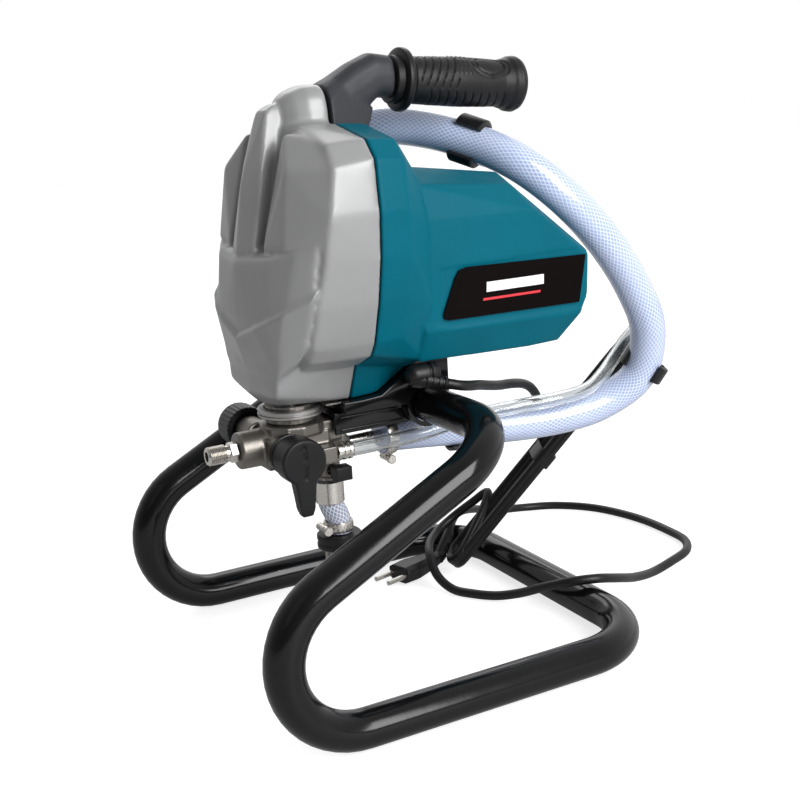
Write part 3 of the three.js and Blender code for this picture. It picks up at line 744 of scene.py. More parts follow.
# ---------- power cord, with its hank and plug ----------
CORD_R = 3.5
CORD_TO_HANK = [
    (72, -55.5, 194.6), (80, -57.5, 192.4), (90, -54.5, 190), (101, -48, 187.5), (113, -41, 184),
    (126, -33, 180.5), (142, -24, 177.5), (158, -13, 173), (173, -1, 166), (185, 10, 157),
    (195, 20, 146), (203, 28, 134), (208, 35, 123),
]
CORD_TO_PLUG = [
    (180, 76, 62), (170, 86, 52), (157, 95, 40), (141, 93, 32), (126, 81, 27.5), (118, 66, 23),
    (116, 52, 12), (121, 38, 4.5), (130, 22, 3.8), (141, 6, 5), (150, -12, 11), (158, -33, 21),
    (170, -52, 29), (187, -60, 30), (208, -56, 24), (238, -40, 12), (268, -25, 4.2), (296, -15, 3.8),
    (320, -4, 3.8), (334, 14, 3.8), (338, 40, 3.8), (337, 82, 3.8), (323, 126, 3.8), (299, 153, 3.8),
    (272, 165, 4.2), (240, 160, 10), (208, 145, 22), (186, 130, 29), (171, 117, 31), (161, 107, 27.5),
    (153.5, 100, 18.5), (147, 96.5, 12), (139.6, 92.6, 9),
]
HANK_FOOT = at(141, 72, 9)
HANK_HEAD = at(276, 2, 187)
HANK_TURNS = 3
TIE_SIDES = 32


def hank_turns():
    """Long flat turns side by side, as (along the hank, level, through the hank) in metres."""
    long = (HANK_HEAD - HANK_FOOT).length
    fold, end_room, half_stack = 13.2 * MM, 17 * MM, 4.3 * MM
    near, far = end_room, long - end_room
    steps = 8
    line = []
    total = HANK_TURNS * 2
    for half in range(total):
        side = 1 if half % 2 == 0 else -1
        centre = far if side > 0 else near
        depth = (-1 + 2 * half / (total - 1)) * half_stack
        after = (-1 + 2 * min(half + 1, total - 1) / (total - 1)) * half_stack
        for k in range(steps + 1):
            share = k / steps
            turn = math.pi * share
            line.append(
                (
                    centre + side * math.sin(turn) * fold,
                    -side * math.cos(turn) * fold,
                    depth + (after - depth) * share,
                )
            )
        if half < total - 1:
            other = near if side > 0 else far
            for share in (0.25, 0.5, 0.75):
                line.append((centre + (other - centre) * share, side * fold, after))
    return line


def hank_place():
    run = (HANK_HEAD - HANK_FOOT).normalized()
    level = Vector((-run.y, run.x, 0)).normalized()
    through = run.cross(level)
    return lambda a, b, c: HANK_FOOT + run * a + level * b + through * c


def power_cord():
    place = hank_place()
    turns = [place(*p) for p in hank_turns()]
    route = [*points(CORD_TO_HANK), *turns, *points(CORD_TO_PLUG)]
    line = smooth_line(route, 0.003)
    shape = bmesh.new()
    add_sweep(shape, line, CORD_R * MM, 16)
    stood_for = ["power_cord_upper", "cord_hank", "power_cord_lower"]
    cord = piece("power_cord", shape, RUBBER, "cord_rubber", stood_for, 60)
    return cord, line


def hank_tie():
    """A hook-and-loop strap round the middle of the hank."""
    place = hank_place()
    middle, half_strap = (HANK_HEAD - HANK_FOOT).length / 2, 6 * MM
    half_width, half_depth, roundness = 15.7, 6.7, 0.55
    shape = bmesh.new()
    rings = []
    for along in (middle - half_strap, middle + half_strap):
        for grow in (0, 1):
            outline = []
            for turn in circle(TIE_SIDES):
                wide = (half_width + grow) * MM * squarish(math.cos(turn), roundness)
                thick = (half_depth + grow) * MM * squarish(math.sin(turn), roundness)
                outline.append(shape.verts.new(place(along, wide, thick)))
            rings.append(outline)
    inner_a, outer_a, inner_b, outer_b = rings
    for k in range(TIE_SIDES):
        n = (k + 1) % TIE_SIDES
        for first, second in ((outer_a, outer_b), (outer_b, inner_b), (inner_b, inner_a),
                              (inner_a, outer_a)):
            shape.faces.new((first[k], first[n], second[n], second[k]))
    return piece("hank_tie", shape, BLACK, "cord_rubber", angle=50)


PLUG_REAR = (138, 92, 9)
PLUG_TURN = math.pi + 0.28


def plug_point(x, y, z):
    turned = Vector((x, y, z))
    turned.rotate(Quaternion((0, 0, 1), PLUG_TURN))
    return turned.x + PLUG_REAR[0], turned.y + PLUG_REAR[1], turned.z + PLUG_REAR[2]


def plug():
    shape = bmesh.new()
    sections = [(0, 4.8, 4.8), (8, 6.6, 6.2), (30, 11.6, 7.3), (43.7, 11.2, 6.8)]
    octagon = [(1, 0.6), (0.6, 1), (-0.6, 1), (-1, 0.6), (-1, -0.6), (-0.6, -1), (0.6, -1), (1, -0.6)]
    add_hull(shape, [plug_point(x, wide * a, high * b) for x, wide, high in sections
                     for a, b in octagon])
    grooves = bmesh.new()
    for x in (12, 15.5, 19, 22.5):
        for side in (-1, 1):
            add_hull(
                grooves,
                [plug_point(x + dx, side * y, z) for dx in (-0.7, 0.7) for y in (7.5 + x / 12, 16)
                 for z in (-9, 9)],
            )
    body = fused("plug", shape, grooves, voxel=0.8, rounds=3)
    settle(body, RUBBER, "machine", "cord_rubber", "plug_body", 80)
    pins = bmesh.new()
    for side in (-1, 1):
        add_bar(pins, plug_point(42, side * 7, 0), plug_point(62.8, side * 7, 0), 2.2, 2.0, 24, 0.7)
    prongs = piece("plug_pins", pins, STEEL, "steel", ["plug_pin_1", "plug_pin_2"])
    relief = bmesh.new()
    # The tapered strain relief stands over the cord behind the plug.
    for start, end, radius in ((-26, -20, 4.3), (-19, -13, 4.6), (-12, -6, 4.9), (-5, 1, 5.2)):
        add_bar(relief, relief_point(start), relief_point(end), radius, radius + 0.2, 24)
    add_bar(relief, relief_point(-26), relief_point(1), 4.0, 4.6, 24)
    sleeve = piece("plug_strain_relief", relief, RUBBER, "cord_rubber")
    return [body, prongs, sleeve]


def relief_point(distance):
    """A point on the cord's last stretch, so many millimetres in front of its end."""
    line = CORD_LINE
    left = max(0.0, -distance * MM)
    index = len(line) - 1
    while left > 0 and index > 0:
        left -= (line[index] - line[index - 1]).length
        index -= 1
    point = line[index]
    if distance > 0:
        point = point + (line[-1] - line[-2]).normalized() * distance * MM
    return (point.x - SHIFT) / MM, point.y / MM, point.z / MM


CORD, CORD_LINE = power_cord()
tie = hank_tie()
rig.cord(
    CORD,
    exit=CORD_LINE[0],
    length=length_of(CORD_LINE),
    diameter=2 * CORD_R * MM,
    far_end="plug",
    stiffness="medium",
    lay="loose",
    path=CORD_LINE,
    with_pieces=[tie, *plug()],
)


# ---------- stand ----------
TUBE_R = 12.5
ARC_STEPS = 20


def rounded(corners, radii):
    """A line through the corners whose inner ones are rounded by arcs."""
    line = [corners[0]]
    for before, corner, after, radius in zip(corners, corners[1:], corners[2:], radii):
        back, on = (before - corner).normalized(), (after - corner).normalized()
        half = back.angle(on) / 2
        centre = corner + (back + on).normalized() * radius / math.sin(half)
        start = corner + back * radius / math.tan(half) - centre
        turn = start.rotation_difference(corner + on * radius / math.tan(half) - centre)
        for k in range(ARC_STEPS + 1):
            line.append(centre + Quaternion().slerp(turn, k / ARC_STEPS) @ start)
    line.append(corners[-1])
    return line


def stand():
    rear, front, half, top = 181, -243, 131, (72, 176)
    corners = points(
        [
            (rear, -0.3, TUBE_R), (rear, -half, TUBE_R), (front, -half, TUBE_R),
            (top[0], -half, top[1]), (top[0], half, top[1]), (front, half, TUBE_R),
            (rear, half, TUBE_R), (rear, 0.3, TUBE_R),
        ]
    )
    line = rounded(corners, [r * MM for r in (54, 50, 45, 45, 50, 54)])
    shape = bmesh.new()
    add_sweep(shape, line, TUBE_R * MM, 40)
    # Weld bead at the butt seam.
    add_turned(shape, [(-2, 12.4), (-1, 12.49), (1, 12.49), (2, 12.4)], at(rear, 0, TUBE_R), ACROSS, 40)
    piece("stand_tube", shape, PAINT, "frame_paint", "frame_tube", 60)
    for node in ("chassis_channel", "motor_saddle", "tube_strap_near", "tube_strap_far"):
        rounded_piece(node + "_rounded", node, 0.8, PAINT, "frame_paint")


def stand_details():
    """Screw heads on the straps and the channel, and the bright tab under the front cover."""
    heads = bmesh.new()
    for y in (-25, 25):
        add_bar(heads, (51.2, y, 176.4), (51.2, y, 181), 3.2, sides=6)
        add_bar(heads, (92.8, y, 182), (92.8, y, 187), 3.2, sides=6)
    piece("chassis_screws", heads, PAINT, "frame_paint")
    ribs = bmesh.new()
    # A rolled bead along each side of the channel.
    for side in (-1, 1):
        add_bar(ribs, (9, side * 20, 174.6), (56, side * 20, 174.6), 0.9, sides=16)
        add_bar(ribs, (9, side * 20, 166), (56, side * 20, 166), 0.9, sides=16)
    piece("channel_beads", ribs, PAINT, "frame_paint")
    tab = bmesh.new()
    add_hull(tab, [(x, y, z) for x in (-2, 21) for y in (-24, 24) for z in (185.6, 186.6)])
    piece("cover_seat", tab, STEEL, "steel")


# ---------- front cover ----------
SEAM_X = 15
BODY_MID_Z = 275
COVER_REAR = SEAM_X + 0.7
UPPER_SEAM = [(30, 366), (70, 357), (81, 345), (84, 314), (82, 287), (75.5, 258), (66, 231),
              (59.5, 222), (40, 213)]
LOWER_SEAM = [(38, 218), (22.5, 187)]


def seam_at(x, outline, share=1.0):
    return [(x, y * share, BODY_MID_Z + (z - BODY_MID_Z) * share) for y, z in outline]


BEVEL = [
    (-8, 30, 367), (-10, 68, 355), (-12, 80, 341), (-17, 83, 313), (-20, 80, 288), (-25, 74, 259),
    (-27, 65, 232), (-27, 56, 222), (-27, 38, 213),
]
# The belly under the shelf, and the skirt that narrows to the pump.
BELLY = [
    (-48.5, 0, 285), (-46.5, 13, 286), (-43, 41, 288), (-33, 64, 293), (-22, 77.5, 299), (5, 30, 290),
    (-50.5, 0, 250), (-49.8, 16, 250), (-48.2, 32, 250), (-45.6, 46, 250), (-41, 58, 251),
    (-27.5, 73, 259), (-47, 0, 214), (-46.2, 20, 214), (-43, 45, 213), (-29.5, 63.5, 233),
    (-30, 54, 224), (-30, 37, 215),
]
SKIRT = [
    (-42.5, 44, 216), (-46.5, 0, 218), (-43.5, 41, 200), (-45, 0, 201), (-40, 0, 190), (-38, 20, 191.5),
    (-30, 22, 190), (-33, 45, 217),
]
LEAF = [
    (-12, 0, 381), (-15, 7, 380), (-22, 8.5, 376), (-30, 15, 345), (-35, 15, 320), (-39, 0, 334),
    (-42.5, 17, 289), (-47, 0, 287), (-8, 10, 370), (-24, 16, 290),
]
WING = [
    (-21, 30, 362), (-15, 42, 361), (-28, 33, 329), (-31.5, 46, 325), (-30.5, 51.5, 341),
    (-40.2, 27.5, 290), (-37.2, 55, 293), (-9, 66, 353.5), (-12, 78, 341), (-17, 82, 313),
    (-20, 79, 294), (8, 28, 363), (8, 66, 352), (8, 78, 300), (8, 30, 292),
]
BASE = [(-15, 0, 366), (-24, 0, 335), (-34, 0, 290), (-18, 46, 330), (-27, 52, 290)]


def dome_corners():
    """The rounded hump that the handle grows out of, as half ovals that shrink to the front."""
    ovals = [(COVER_REAR, 22, 391), (4, 21.5, 390.4), (-5, 18, 387), (-10, 13, 383), (-14, 7, 378)]
    return [
        (x, half * math.cos(turn) ** 0.6, 356 + (top - 356) * math.sin(turn) ** 0.5)
        for x, half, top in ovals
        for turn in (math.pi / 2 * k / 8 for k in range(8))
    ] + [(x, 0, top) for x, half, top in ovals]


def front_cover():
    shape = bmesh.new()
    wings = [[(x, side * y, z) for x, y, z in WING] for side in (-1, 1)]
    upper = both_sides([*seam_at(COVER_REAR, UPPER_SEAM), *BEVEL, *BASE])
    add_soft(shape, [upper, both_sides(dome_corners()), *wings], 12)
    add_soft(shape, [both_sides([*seam_at(COVER_REAR, LOWER_SEAM), *SKIRT]), both_sides(BELLY)], 14)
    add_soft(shape, [both_sides(LEAF)], 4)
    # A crisp rear edge, where the cover meets the casing.
    for outline in (UPPER_SEAM, LOWER_SEAM):
        edge = [*seam_at(COVER_REAR, outline), *seam_at(COVER_REAR - 7, outline, 0.985)]
        add_hull(shape, both_sides(edge))
    # The lower belly stands out a little, under a ledge in the shape of a V.
    chevron = [
        (-52.3, -1, 234), (-50.9, 30, 244), (-48, 46, 250), (-42.8, 61, 256), (-29, 77.5, 266),
        (-46, -1, 241), (-45.5, 30, 251), (-42, 46, 257), (-37, 61, 263), (-24, 75, 271),
        (-46.8, -1, 216), (-43, 43, 216), (-29.5, 63, 236),
    ]
    for side in (-1, 1):
        add_hull(shape, [(x, side * y, z) for x, y, z in chevron])
    inside = [
        (x + 4 if x > SEAM_X - 0.5 else x + 13, y * 0.88, BODY_MID_Z + (z - BODY_MID_Z) * 0.88)
        for x, y, z in [*seam_at(COVER_REAR, UPPER_SEAM), *BEVEL, *BASE, (-34, 0, 250), (-34, 30, 250)]
    ]
    cover = fused("front_cover_shell", shape)
    # The cavity, then room for the piston, its yoke and the large gear, which reach below it.
    for add_cut, sizes in (
        (add_hull, [both_sides(inside)]),
        (add_bore, [(PISTON_X, 0, 180), UP, 12, 40]),
        (add_box, [(-31, -4), (-25, 25), (201, 281)]),
        (add_bore, [(1, 0, 242), ALONG, 43, 18, 64]),
    ):
        cuts = bmesh.new()
        add_cut(cuts, *sizes)
        cover = carved(cover, cuts)
    settle(cover, SILVER, "machine", "cover_paint", "front_cover", 100)


# ---------- motor housing, label and switch ----------
HOUSING_X = SEAM_X + 1.5
GEAR_CASE = [
    *seam_at(HOUSING_X, UPPER_SEAM), *seam_at(36, UPPER_SEAM, 0.985),
    (56, 30, 341), (56, 62, 328), (58, 68, 300), (58, 67, 250), (58, 50, 212), (58, 22, 202),
]
BARREL = [
    (54, 30, 337), (54, 56, 326), (54, 63, 304), (54, 63, 232), (54, 52, 211), (132, 30, 327),
    (130, 50, 320), (140, 63, 303), (140, 52, 209), (186, 22, 276), (186, 57, 271), (183, 63, 268),
    (182, 63, 240), (176, 63, 229), (187, 22, 232), (164, 52, 210),
]


WALL = 3
CASING_HALF_WIDTH, CASING_HALF_HEIGHT, CASING_MID_Z = 63, 58, 268


def shrunk(corners, behind, wall):
    """The corners of the room inside the casing; those behind the given X move in by the given wall."""
    return [
        (
            x - 4 if x <= HOUSING_X + 0.1 else x - wall if x > behind else x,
            y * (1 - WALL / CASING_HALF_WIDTH),
            CASING_MID_Z + (z - CASING_MID_Z) * (1 - WALL / CASING_HALF_HEIGHT),
        )
        for x, y, z in corners
    ]


def motor_housing():
    shape = bmesh.new()
    add_hull(shape, both_sides(GEAR_CASE))
    add_hull(shape, both_sides([*seam_at(HOUSING_X, LOWER_SEAM), *seam_at(36, LOWER_SEAM, 0.985),
                                (58, 22, 202)]))
    add_hull(shape, both_sides(BARREL))
    cuts = bmesh.new()
    add_hull(cuts, both_sides(shrunk(GEAR_CASE, 50, 3.5)))
    add_hull(cuts, both_sides(shrunk(BARREL, 150, WALL)))
    for y in range(-24, 25, 8):
        add_box(cuts, (170, 200), (y - 1.6, y + 1.6), (236, 266))
    # A shallow step round the label.
    add_hull(cuts, [(x, y, z) for y in (-70, -62.1) for x, z in [(60, 236), (66, 272), (200, 275),
                                                                 (200, 232), (74, 232)]])
    housing = fused("motor_housing_shell", shape, cuts, voxel=1.1, rounds=5)
    settle(housing, TEAL, "machine", "housing_plastic", "motor_housing", 100)
    seal = bmesh.new()
    for outline in (UPPER_SEAM, LOWER_SEAM):
        add_hull(seal, both_sides([*seam_at(SEAM_X + 0.3, outline, 0.972),
                                   *seam_at(HOUSING_X, outline, 0.972)]))
    piece("seam_seal", seal, RUBBER, "grip_rubber", "seam_gasket")


def label():
    outline = [(71, 238), (174, 237), (180, 269), (86, 271), (80, 269.5), (77, 265), (67.5, 243),
               (67.5, 239.5)]
    shape = bmesh.new()
    add_hull(shape, [(x, y, z) for y in (-64.1, -63.3) for x, z in outline])
    piece("label_film", shape, LABEL, "label_print", "label_plate", 30)
    for name, material, low_edge, high_edge, left, right in (
        ("label_stripe", RED, 247.6, 249.2, 97, 142),
        ("label_bar", WHITE, 253, 259.5, 100, 145),
    ):
        stripe = bmesh.new()
        corners = [(left, low_edge), (right, low_edge), (right + 0.4, high_edge),
                   (left + 0.4, high_edge)]
        add_hull(stripe, [(x, y, z) for y in (-64.2, -64.0) for x, z in corners])
        piece(name, stripe, material, "label_print")


def switch():
    rounded_piece("switch_bezel", "switch_frame", 0.5, BLACK, "black_plastic")
    rounded_piece("switch_key", "switch_rocker", 0.5, BLACK, "black_plastic", "rocker")


# ---------- handle ----------
GRIP_SLOPE = math.radians(4.5)
GRIP_WAY = Vector((math.cos(GRIP_SLOPE), 0, -math.sin(GRIP_SLOPE)))
GRIP_START = at(74, 0, 391)


def section(x, z, half_width, half_height, tilt):
    """An oval across the bracket, tilted about Y, in millimetres."""
    tilt = math.radians(tilt)
    made = []
    for turn in circle(16):
        across = half_width * squarish(math.cos(turn), 0.75)
        above = half_height * squarish(math.sin(turn), 0.75)
        made.append((x - above * math.sin(tilt), across, z + above * math.cos(tilt)))
    return made


def bracket():
    shape = bmesh.new()
    root = [(SEAM_X + 2.2, side * y, z) for y, z in ((24, 367), (22, 380), (16, 387.5), (8, 390))
            for side in (-1, 1)]
    arch = [root, section(33, 382, 17, 14.5, 30), section(46, 388.5, 15.5, 15.5, 20),
            section(57, 394.5, 15, 14.5, 8),
            section(68, 393, 14.8, 14, 0)]
    for before, after in zip(arch, arch[1:]):
        add_hull(shape, before + after)
    foot = [(SEAM_X + 2.2, 24, 362), (39, 21, 351), (44, 18, 357), (47.5, 16, 365), (52, 13, 374),
            (40, 16, 380), (SEAM_X + 2.2, 22, 380)]
    add_hull(shape, both_sides(foot))
    made = fused("handle_bracket_cast", shape, voxel=1.1, rounds=10)
    settle(made, DARK, "machine", "dark_plastic", "handle_bracket", 100)
    profile = [(-4, 6.4), (-4, 14.8), (-3.4, 15.6), (1.2, 15.8), (1.8, 19.4), (2.6, 20.6), (3.6, 20.8),
               (5.6, 20.8), (6.6, 20.4), (7.4, 19.2), (8, 16.4), (9, 15), (9, 6.4), (-4, 6.4)]
    turned("handle_collar_ring", profile, GRIP_START, GRIP_WAY, 64, BLACK, "dark_plastic",
           "handle_collar")


def grip_radius(x, turn):
    """Radius of the rubber, with its ribs and thumb pad; turn is 0 at the top and grows nearer."""
    profile = [(10, 14.4), (11, 15.2), (16, 15.6), (30, 16.1), (48, 16.5), (66, 16.2), (79, 15.7),
               (84, 16.8), (89, 18.6), (92, 18.9), (95, 17.8), (96.4, 15)]
    for (x0, r0), (x1, r1) in zip(profile, profile[1:]):
        if x <= x1:
            share = (x - x0) / (x1 - x0)
            radius = r0 + (r1 - r0) * share * share * (3 - 2 * share)
            break
    around = math.atan2(math.sin(turn), math.cos(turn))
    if 13 < x < 42 and around < 1.9:
        slanted = (x + around * 5.5) / 5.6
        radius -= 0.8 * max(0.0, math.cos(2 * math.pi * slanted)) ** 6
    if 40 < x < 54 and -0.4 < around < 1.3:
        dots = max(0.0, math.cos(2 * math.pi * x / 3.4)) * max(0.0, math.cos(around * 20))
        radius += 0.5 * dots
    for size, depth in ((1.0, 0.9), (1.75, 0.6)):
        oval = (((x - 68) / 11) ** 2 + ((around - 0.75) / 0.5) ** 2) / size
        if abs(oval - 1) < 0.2:
            radius -= depth * (1 - abs(oval - 1) / 0.2)
    if 18 < x < 80 and abs(around - 0.75) > 1.25:
        radius -= 0.7 * max(0.0, math.cos(2 * math.pi * (x + 4 * math.cos(around)) / 6.4)) ** 6
    return radius


def grip():
    long, sides = 174, 120
    across = Vector((0, -1, 0))
    above = Vector((math.sin(GRIP_SLOPE), 0, math.cos(GRIP_SLOPE)))
    shape = bmesh.new()
    rings = []
    for i in range(long):
        x = 10 + 86.4 * i / (long - 1)
        ring = []
        for turn in circle(sides):
            out = above * math.cos(turn) + across * math.sin(turn)
            ring.append(shape.verts.new(GRIP_START + (GRIP_WAY * x + out * grip_radius(x, turn)) * MM))
        rings.append(ring)
    add_skin(shape, rings)
    piece("grip_cover", shape, GRIP, "grip_rubber", "handle_grip", 50)


# ---------- hoses ----------
SUCTION_Y, SUCTION_Z = 5, 150
HOSE_ROUTE = [
    (50, 5, 150), (58, 5, 150), (78, 6, 148), (112, 3, 145), (153, -6, 142), (192, -14, 143),
    (224, -20, 149), (251, -30, 168), (254, -38, 202), (237, -42, 238), (210, -42, 276),
    (181, -38, 307), (156, -22, 331), (136, 9, 347), (113, 38, 357), (92, 55, 360), (73, 75, 355),
    (60, 90, 341), (55, 97, 322), (55, 97, 300),
]
RETURN_START = [
    (15, -21.5, 152.5), (36, -21, 152.5), (69, -20, 153), (93, -21, 156), (127, -22, 159),
    (150, -24, 160), (178, -31, 162), (205, -29, 164), (226, -19, 169.5), (243, -9, 176),
    (256, -9, 190), (264, -16, 206),
]
RETURN_JOINS = 9
CLIP_MOUTH = Vector((-0.45, -0.86, 0.24))
HOSE_R, RETURN_R = 13, 5.2
CLIP_REACH = HOSE_R + RETURN_R + 4.6


def centripetal_tangent(route, index):
    """Direction of the smooth line at one of its own points."""
    line = smooth_line(route[max(0, index - 2):index + 3], 0.0005)
    here = min(range(len(line)), key=lambda i: (line[i] - route[index]).length)
    return (line[min(here + 1, len(line) - 1)] - line[max(here - 1, 0)]).normalized()


def hoses():
    route = points(HOSE_ROUTE)
    shape = bmesh.new()
    add_sweep(shape, smooth_line(route, 0.005), HOSE_R * MM, 48)
    piece("suction_hose_braided", shape, HOSE, "braided_pvc", "suction_hose", 70)

    back = points(RETURN_START)
    for index in range(RETURN_JOINS, len(route)):
        tangent = centripetal_tangent(route, index)
        across = (CLIP_MOUTH - tangent * CLIP_MOUTH.dot(tangent)).normalized()
        back.append(route[index] - across * CLIP_REACH * MM)
    shape = bmesh.new()
    add_sweep(shape, smooth_line(back, 0.005), RETURN_R * MM, 32, 3.6 * MM)
    piece("return_tube_clear", shape, CLEAR, "clear_pvc", "return_tube", 70)
    for node in ("hose_clip_front", "hose_clip_side"):
        rounded_piece(node + "_moulded", node, 0.5, BLACK, "black_plastic")
    clip("hose_clip_rear", route, 7, 8, 0.2, 1.66, 7)
    clip("hose_clip_upper", route, 13, 0, 0.12, 1.66, 10, holds_return=True)
    strainer(route)


def clip(node, route, index, ahead, start, end, half, holds_return=False):
    """A C-shaped clip round the hose, from one angle (in half turns) to another, open between them."""
    tangent = centripetal_tangent(route, index)
    mouth = (CLIP_MOUTH - tangent * CLIP_MOUTH.dot(tangent)).normalized()
    above = tangent.cross(mouth)
    centre = route[index] + tangent * ahead * MM
    inner, shoulder, outer = 13.5, 16.6, 17.2
    shape = bmesh.new()
    steps = 40
    rings = []
    for k in range(steps + 1):
        turn = math.pi * (start + (end - start) * k / steps)
        out = mouth * math.cos(turn) + above * math.sin(turn)
        edge = 0.7 if k in (0, steps) else 0
        section = [(inner + edge, -half), (inner + edge, half), (shoulder - edge, half - 0.6),
                   (outer - edge, half - 1.2), (outer - edge, 1.2 - half),
                   (shoulder - edge, 0.6 - half)]
        rings.append([shape.verts.new(centre + (out * r + tangent * a) * MM) for r, a in section])
    add_skin(shape, rings)
    if holds_return:
        around = centre - mouth * CLIP_REACH * MM - tangent * half * MM
        add_turned(shape, [(0, 5.4), (0, 8.4), (0.6, 9), (2 * half - 0.6, 9), (2 * half, 8.4),
                           (2 * half, 5.4), (0, 5.4)],
                   around, tangent, 40)
    piece(node + "_moulded", shape, BLACK, "black_plastic", node, 40)


def strainer(route):
    """The pick-up strainer at the suction hose's far end, with slots all round."""
    way = (route[-1] - route[-2]).normalized()
    shape = bmesh.new()
    profile = [(0.3, 0), (0.3, 14.4), (0.9, 15), (5, 15), (5.3, 13), (7, 13), (25.8, 13), (28, 11),
               (28.3, 0)]
    add_turned(shape, profile, route[-1], way, 48)
    add_teeth(shape, route[-1], way, 16, 13.1, 16, (9, 1.1, 0.6))
    piece("strainer_cup", shape, BLACK, "black_plastic", "suction_strainer")


# ---------- pump ----------
INLET_X = 6
VALVE_X, VALVE_Z = -31, 158
PRESSURE_X, PRESSURE_Z = -37, 164
OUTLET_Z = 159.5


def pump_block():
    shape = bmesh.new()
    add_turned(shape, [(0, 0), (0, 21.6), (0.8, 22.5), (7.2, 22.5), (8, 21.8), (8, 0)],
               at(PISTON_X, 0, 166), UP, 12)
    add_box(shape, (-42, 2), (-15, 15), (146, 166.5))
    add_box(shape, (0, 18), (-9.5, 12), (142, 161))
    add_box(shape, (-8, 2.7), (-27, -14), (147, 158))
    # The web behind the neck closes the gap to the channel.
    add_box(shape, (-4, 12), (-14, 14), (158, 173))
    barrel = [(0, 0), (0, 11.4), (0.8, 12.3), (2.4, 12.5), (20, 12.6), (20, 0)]
    add_turned(shape, barrel, at(-58, 0, OUTLET_Z), ALONG, 56)
    add_bar(shape, (VALVE_X, -22.5, VALVE_Z), (VALVE_X, -10, VALVE_Z), 12)
    add_bar(shape, (PRESSURE_X, 10, PRESSURE_Z), (PRESSURE_X, 31, PRESSURE_Z), 10)
    cuts = bmesh.new()
    add_bore(cuts, (PISTON_X, 0, 150), UP, 8, 40, 48)
    add_bore(cuts, (INLET_X, 0, 130), UP, 5.5, 22)
    add_bore(cuts, (-60, 0, OUTLET_Z), ALONG, 4, 42)
    add_bore(cuts, (10, SUCTION_Y, SUCTION_Z), ALONG, 4.5, 14)
    made = fused("pump_casting", shape, cuts, voxel=0.75, rounds=4)
    settle(made, CAST, "machine", "cast_metal", "pump_manifold", 80)


def pump_top():
    profile = [(0, 8), (0, 16.5), (0.6, 17), (4, 17), (4, 16), (6, 16), (6, 17), (12, 17), (12, 8),
               (0, 8)]
    turned("pump_neck_turned", profile, at(PISTON_X, 0, 174.5), UP, 64, CAST, "cast_metal",
           "pump_neck")
    profile = [(0, 18), (0, 21.2), (0.8, 22), (2.2, 22), (2.5, 21), (3.5, 21), (3.8, 22), (5.2, 22),
               (6, 21.2), (6, 18), (0, 18)]
    turned("lock_ring_turned", profile, at(PISTON_X, 0, 178.5), UP, 72, DULL_STEEL, "cast_metal",
           "lock_ring")


def outlet():
    shape = bmesh.new()
    thread = [(0, 3.4), (0, 5.4), (1.0, 6.1)]
    for k in range(8):
        start = 1.0 + k * 1.4
        thread += [(start + 0.35, 6.3), (start + 0.9, 5.4), (start + 1.4, 6.2)]
    thread += [(12.6, 5.2), (15, 5.2), (15, 3.4), (0, 3.4)]
    add_turned(shape, thread, at(-79, 0, OUTLET_Z), ALONG, 48)
    hexagon = [(0, 3.4), (0, 6.3), (0.8, 7.1), (5.2, 7.1), (5.9, 6.4), (5.9, 3.4), (0, 3.4)]
    add_turned(shape, hexagon, at(-64.3, 0, OUTLET_Z), ALONG, 6)
    piece("outlet_threaded", shape, STEEL, "steel", "outlet_fitting", 25)


def inlet():
    body = bmesh.new()
    profile = [(0, 5), (0, 8), (0.6, 8.6), (3, 8.6), (3.3, 8.1), (4, 8.1), (4.3, 8.6), (13.6, 8.6),
               (13.6, 5), (0, 5)]
    add_turned(body, profile, at(INLET_X, 0, 128), UP, 48)
    # The button's stem passes through the wall.
    cuts = bmesh.new()
    add_bore(cuts, (INLET_X, -12, 136), ACROSS, 3.7, 9)
    made = fused("inlet_barrel", body, cuts, voxel=0.45, rounds=2)
    settle(made, CAST, "machine", "cast_metal", "inlet_housing")
    rounded_piece("inlet_button", "inlet_pusher", 0.8, BLACK, "black_plastic", "pusher")
    profile = [(0, 9.1), (0, 9.7), (0.6, 10.3), (15.4, 10.3), (16, 9.7), (16, 9.1), (0, 9.1)]
    turned("inlet_sleeve_turned", profile, at(INLET_X, 0, 111.6), UP, 64, STEEL, "steel",
           "inlet_sleeve")


DROP_X = INLET_X + 5


def drop_hose():
    route = points([(INLET_X, 0, 126), (INLET_X, 0, 112), (INLET_X + 2, 0, 106), (DROP_X, 0, 99),
                    (DROP_X, 0, 88.6)])
    shape = bmesh.new()
    add_sweep(shape, smooth_line(route, 0.003), 8.6 * MM, 40)
    piece("drop_hose_braided", shape, DROP, "braided_pvc", "drop_hose", 70)
    worm_clamp("drop_clamp", at(DROP_X, 0, 90), UP, 9.1, 7, at(DROP_X - 12.2, -11, 93.5),
               "drop_hose_clamp", 16)
    profile = [(0, 0), (0, 14.8), (0.8, 15.6), (3.4, 15.6), (3.8, 14.9), (6, 14.9), (6.4, 15.6),
               (9.2, 15.6), (10, 14.8), (10, 0)]
    turned("strainer_collar_ribbed", profile, at(DROP_X, 0, 78), UP, 64, BLACK, "black_plastic",
           "strainer_collar")
    profile = [(0, 0), (0, 10.4), (0.6, 11), (2, 11), (2.2, 10.7), (19.5, 10.7), (19.7, 11), (21.7, 11),
               (21.7, 0)]
    turned("strainer_screen", profile, at(DROP_X, 0, 56), UP, 64, MESH, "mesh_steel", "strainer_mesh")


